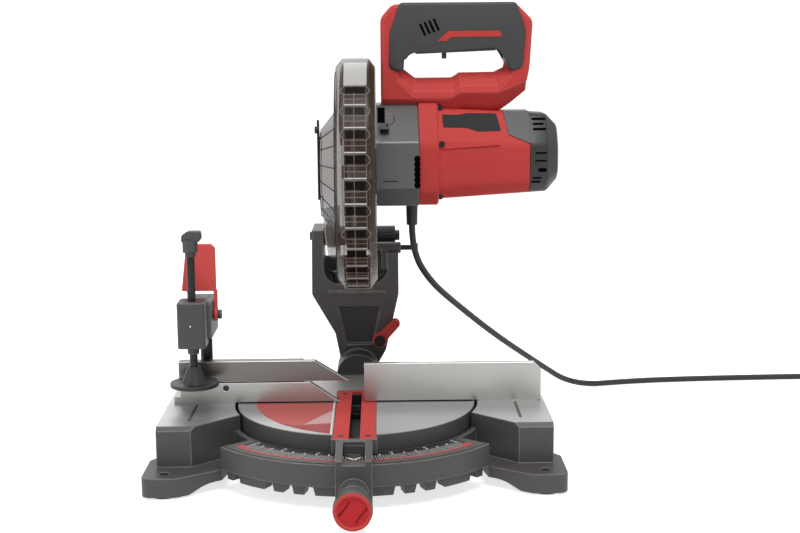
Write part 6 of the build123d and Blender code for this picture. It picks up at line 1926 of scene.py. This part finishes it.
@dataclass
class Guard:
    """Smoky lower guard: swept shell, rim windows with painted highlights and shade, seam, clear panel in painted
    sheen, and the cone's ribs and tail.

    Attributes:
        arbor: Place of the arbor, Y and Z.
        section: Outside of the shell: place along X and radius.
        wall: Wall of the shell.
        start: Angle of its first edge, from the back over the top.
        span: Angle that it covers.
        steps: Steps of the sweep.
        rim: Radius of the rim.
        rim_mid: Middle of the rim along X.
        first: Angle of the first pair of ribs.
        pitch: Angle from pair to pair.
        count: Count of pairs.
        pane: Half width of a window.
        pane_wide: Half width of its widest part.
        bars: Angles of a window's cross lines.
        lip: Angle of its white lip, a painted highlight.
        gap: First and last angle of its dark gap, painted shade.
        gap_in: How far the gap's ends are inside the window.
        panel: First angle and span of the clear panel, painted light grey as sheen.
        panel_over: How much wider than a window that panel is on each side.
        seam: First angle and span of the rim's seam, a painted highlight line.
        cone_turns: Angles of the cone's ribs.
        cone_foot: Place along X and radius of the cone's foot.
        cone_top: Place along X and radius of the cone's top.
        side_rim: Radius of the outer ends of the ribs on the flat side.
        hoops: Place along X and radius of each hoop.
        hoop_span: First angle and span of the hoops.
        tail: Height, left face and half depth of each section of the cone's tail.
        tail_right: Right face of the tail.
    """

    arbor: Flat = (18.0, 302.0)
    section: Outline = ((23.5, 31.0), (23.5, 112.0), (16.8, 121.0), (-9.2, 121.0), (-16.2, 112.0),
                                 (-16.2, 68.0), (-33.0, 46.0), (-33.0, 26.0))
    wall: float = 1.0
    start: float = 106.0
    span: float = 174.0
    steps: int = 72
    rim: float = 121.0
    rim_mid: float = 3.8
    first: float = 134.3
    pitch: float = 11.65
    count: int = 13
    pane: float = 10.6
    pane_wide: float = 14.0
    bars: Point = (2.6, -2.6, 5.2)
    lip: float = -3.4
    gap: Flat = (-1.9, 1.7)
    gap_in: float = 1.2
    panel: Flat = (112.4, 18.6)
    panel_over: float = 0.6
    seam: Flat = (136.0, 140.0)
    cone_turns: tuple[float, ...] = (134, 152, 172, 192, 212, 232, 252)
    cone_foot: Flat = (-16.4, 67.6)
    cone_top: Flat = (-33.1, 45.6)
    side_rim: float = 108.0
    hoops: Outline = ((-16.4, 67.8), (-33.1, 45.6), (-16.4, 111.6))
    hoop_span: Flat = (113.0, 166.0)
    tail: tuple[Point, ...] = ((262.0, -32.0, 44.0), (240.0, -31.0, 40.0), (216.0, -27.5, 30.0))
    tail_right: float = -16.0

    def at(self, x: float, radius: float, angle: float, centre: Flat | None = None) -> Vector:
        """Point in metres.

        Args:
            x: Place along the arbor, in mm.
            radius: Distance from it.
            angle: Angle from the back over the top, in degrees.
            centre: Y and Z of the line that it turns about, if not the arbor's.

        Returns:
            The point.
        """
        turn = math.radians(angle)
        y, z = centre or self.arbor
        return Vector((x, y + radius * math.cos(turn), z + radius * math.sin(turn))) * MM

    def arc(self, x: float, radius: float, start: float, span: float, steps: int = 60) -> list[Vector]:
        """Points on an arc about the arbor.

        Args:
            x: Place along the arbor, in mm.
            radius: Distance from it.
            start: First angle in degrees.
            span: Angle that the arc covers.
            steps: Steps of the arc.

        Returns:
            The points in metres.
        """
        return [self.at(x, radius, start + span * step / steps) for step in range(steps + 1)]

    def build(self) -> None:
        """Build the guard's pieces."""
        self.shell()
        self.windows()
        self.clear_panel()
        self.cone()

    def shell(self) -> None:
        """Swept shell."""
        inner = [(x + (-self.wall if x > 0 else self.wall), r - self.wall) for x, r in self.section[1:-1]]
        inner = [(self.section[0][0] - self.wall, self.section[0][1])] + inner
        inner.append((self.section[-1][0] + self.wall, self.section[-1][1]))
        loop = list(self.section) + inner[::-1]
        shape = Shape()
        shape.loft([[self.at(x, r, self.start + self.span * step / self.steps) for x, r in loop]
                    for step in range(self.steps + 1)])
        shape.ride("guard_shell", [SMOKE, SMOKE_EDGE], *GUARD, "lower_guard", width=0.35, segments=1, angle=25,
                   edge=1, sharp=28)

    def template(self, name: str, paths: Sequence[Sequence[Flat]], radius: float, lift: float) -> Object:
        """Thin bars on the rim, for the repeat about the arbor.

        Args:
            name: Template name.
            paths: Paths of the bars: place along X, and angle in degrees.
            radius: Radius of the bars.
            lift: Height of the bars over the rim.

        Returns:
            The template, about the arbor's line.
        """
        shape = Shape()
        for path in paths:
            points = []
            for (x0, a0), (x1, a1) in zip(path, path[1:]):
                count = max(1, int(abs(a1 - a0) / 1.5))
                points += [(x0 + (x1 - x0) * k / count, a0 + (a1 - a0) * k / count) for k in range(count)]
            points.append(path[-1])
            shape.tube([self.at(x, self.rim + lift, angle, (0.0, 0.0)) for x, angle in points], radius, sides=6)
        return shape.piece(name, [SMOKE_EDGE])

    def windows(self) -> None:
        """Rim windows, one set for each pair of ribs: outlines and white lips as painted highlights, dark gaps as
        painted shade.
        """
        left, right = self.rim_mid - self.pane, self.rim_mid + self.pane
        wide = self.rim_mid - self.pane_wide
        outline = [(left, -2.6), (wide, -0.4), (wide, 0.9), (left, 2.6), (left, 9.0)]
        mirrored = [(2 * self.rim_mid - x, angle) for x, angle in outline]
        cross = [[(left, angle), (right, angle)] for angle in self.bars]
        lines = self.template("line", [outline, mirrored, *cross], 0.32, 0.0)
        lips = self.template("lip", [[(left, self.lip), (right, self.lip)]], 0.75, -0.5)
        # Near-black strip in each window's gap: painted shade.
        gap = Shape()
        corners = box(left + self.gap_in, right - self.gap_in, *self.gap)
        gap.loft([[self.at(x, reach, angle, (0.0, 0.0)) for x, angle in corners]
                  for reach in (self.rim - 1.2, self.rim + 0.15)])
        gaps = gap.piece("gap", [SMOKE_DARK_AND_SHADE])
        turn = Repeat(self.count, centre=(0.0, *self.arbor), axis=(1.0, 0.0, 0.0), first=self.first,
                      turn=self.pitch)
        for name, template, finish in (("guard_lines", lines, GUARD_LINE_HIGHLIGHT), ("guard_lips", lips, LIP_HIGHLIGHT),
                                       ("guard_gaps", gaps, SMOKE_DARK_AND_SHADE)):
            turn.ride(name, template, finish, *GUARD)

    def clear_panel(self) -> None:
        """Seam along the middle of the rim as a painted highlight line, and the clear panel at its upper end in
        painted sheen.
        """
        seam = Shape()
        seam.tube(self.arc(self.rim_mid - 1.0, self.rim + 0.1, *self.seam), 0.3, sides=6)
        seam.ride("guard_seam", [GUARD_LINE_HIGHLIGHT], *GUARD, smooth=False)
        half = self.pane + self.panel_over
        corners = box(self.rim_mid - half, self.rim_mid + half, self.rim - 0.3, self.rim + 0.6)
        # Light grey panel on the clear top: painted sheen.
        panel = Shape()
        panel.loft(list(zip(*(self.arc(x, reach, *self.panel, 10) for x, reach in corners))))
        panel.ride("guard_panel", [CLEAR_SHEEN], *GUARD)

    def cone(self) -> None:
        """Ribs and hoops on the guard's left side and cone, and the cone's tail."""
        (foot_x, foot_r), (top_x, top_r) = self.cone_foot, self.cone_top
        shape = Shape()
        for angle in self.cone_turns:
            foot = self.at(foot_x, foot_r, angle)
            shape.tube([foot, self.at(top_x, top_r, angle - 6)], 0.5, sides=6)
            shape.tube([self.at(foot_x, self.side_rim, angle), foot], 0.5, sides=6)
        for x, radius in self.hoops:
            shape.tube(self.arc(x, radius, *self.hoop_span), 0.45, sides=6)
        shape.ride("guard_cone_ribs", [SMOKE_DARK_AND_SHADE], *GUARD, smooth=False)
        loops = []
        for height, left, wide in self.tail:
            edge = [(self.tail_right, -wide), (left + 3.0, -wide * 0.6), (left, -wide * 0.35)]
            edge += [(x, -y) for x, y in reversed(edge)]
            loops.append([Axis.Z.point((x, self.arbor[0] + y), height) for x, y in edge])
        tail = Shape()
        tail.loft(loops)
        tail.ride("guard_tail", [SMOKE], *GUARD, sharp=28)


@dataclass
class Clamp:
    """Winged knob of the hold-down clamp and the light dot on its block.

    Attributes:
        axis: Place of the rod, X and Y.
        wing: Outline of the wing, across and up.
        wing_half: Half of the wing's thickness.
        body: Radius, foot and top of the knob's body.
        collar: Radius and height of the collar under it.
        dot: Place of the dot, across and up.
        dot_r: Radius of the dot.
        face: Front face of the block.
    """

    axis: Flat = (-164.5, -31.0)
    wing: Outline = ((-172.7, 237.5), (-155.5, 237.5), (-152.6, 241.0), (-153.4, 248.8), (-166.0, 248.8),
                              (-172.7, 244.5))
    wing_half: float = 5.6
    body: Point = (7.6, 227.0, 240.0)
    collar: Flat = (5.4, 4.0)
    dot: Flat = (-165.0, 153.5)
    dot_r: float = 0.9
    face: float = -45.0

    def build(self) -> None:
        """Build the clamp's pieces."""
        radius, low, high = self.body
        thin, tall = self.collar
        shape = Shape()
        profile = [(thin, low - tall), (thin, low), (radius - 0.6, low), (radius, low + 0.6), (radius, high)]
        shape.lathe(profile, Axis.Z, self.axis, 32)
        front, back = self.axis[1] - self.wing_half, self.axis[1] + self.wing_half
        shape.plate(rounded(self.wing, 2.0), Axis.Y, front, back, 1.4)
        shape.ride("clamp_wing", [GREY], Body.CLAMP_ROD, "black_plastic", "clamp_knob")
        shape = Shape()
        shape.lathe([(self.dot_r, self.face - 0.15), (self.dot_r, self.face + 0.6)], Axis.Y, self.dot, 16)
        shape.ride("clamp_dot", [PRINT], Body.CLAMP, "scale_print", smooth=False)


def dress_plain_pieces() -> None:
    """Dress every piece that keeps its CAD form."""
    for finishes, widths in PLAIN.items():
        for node, width in widths.items():
            refined(node, finishes, width)


def main() -> None:
    """Build the scene."""
    logging.basicConfig(level=logging.INFO)
    Studio().build()
    dress_plain_pieces()
    for unit in (BenchBase(), TurnTable(), MiterScale(), Fork(), Motor(), Handle(), Guard(), Clamp(),
                 MainsLead()):
        unit.build()


if __name__ == "__main__":
    main()
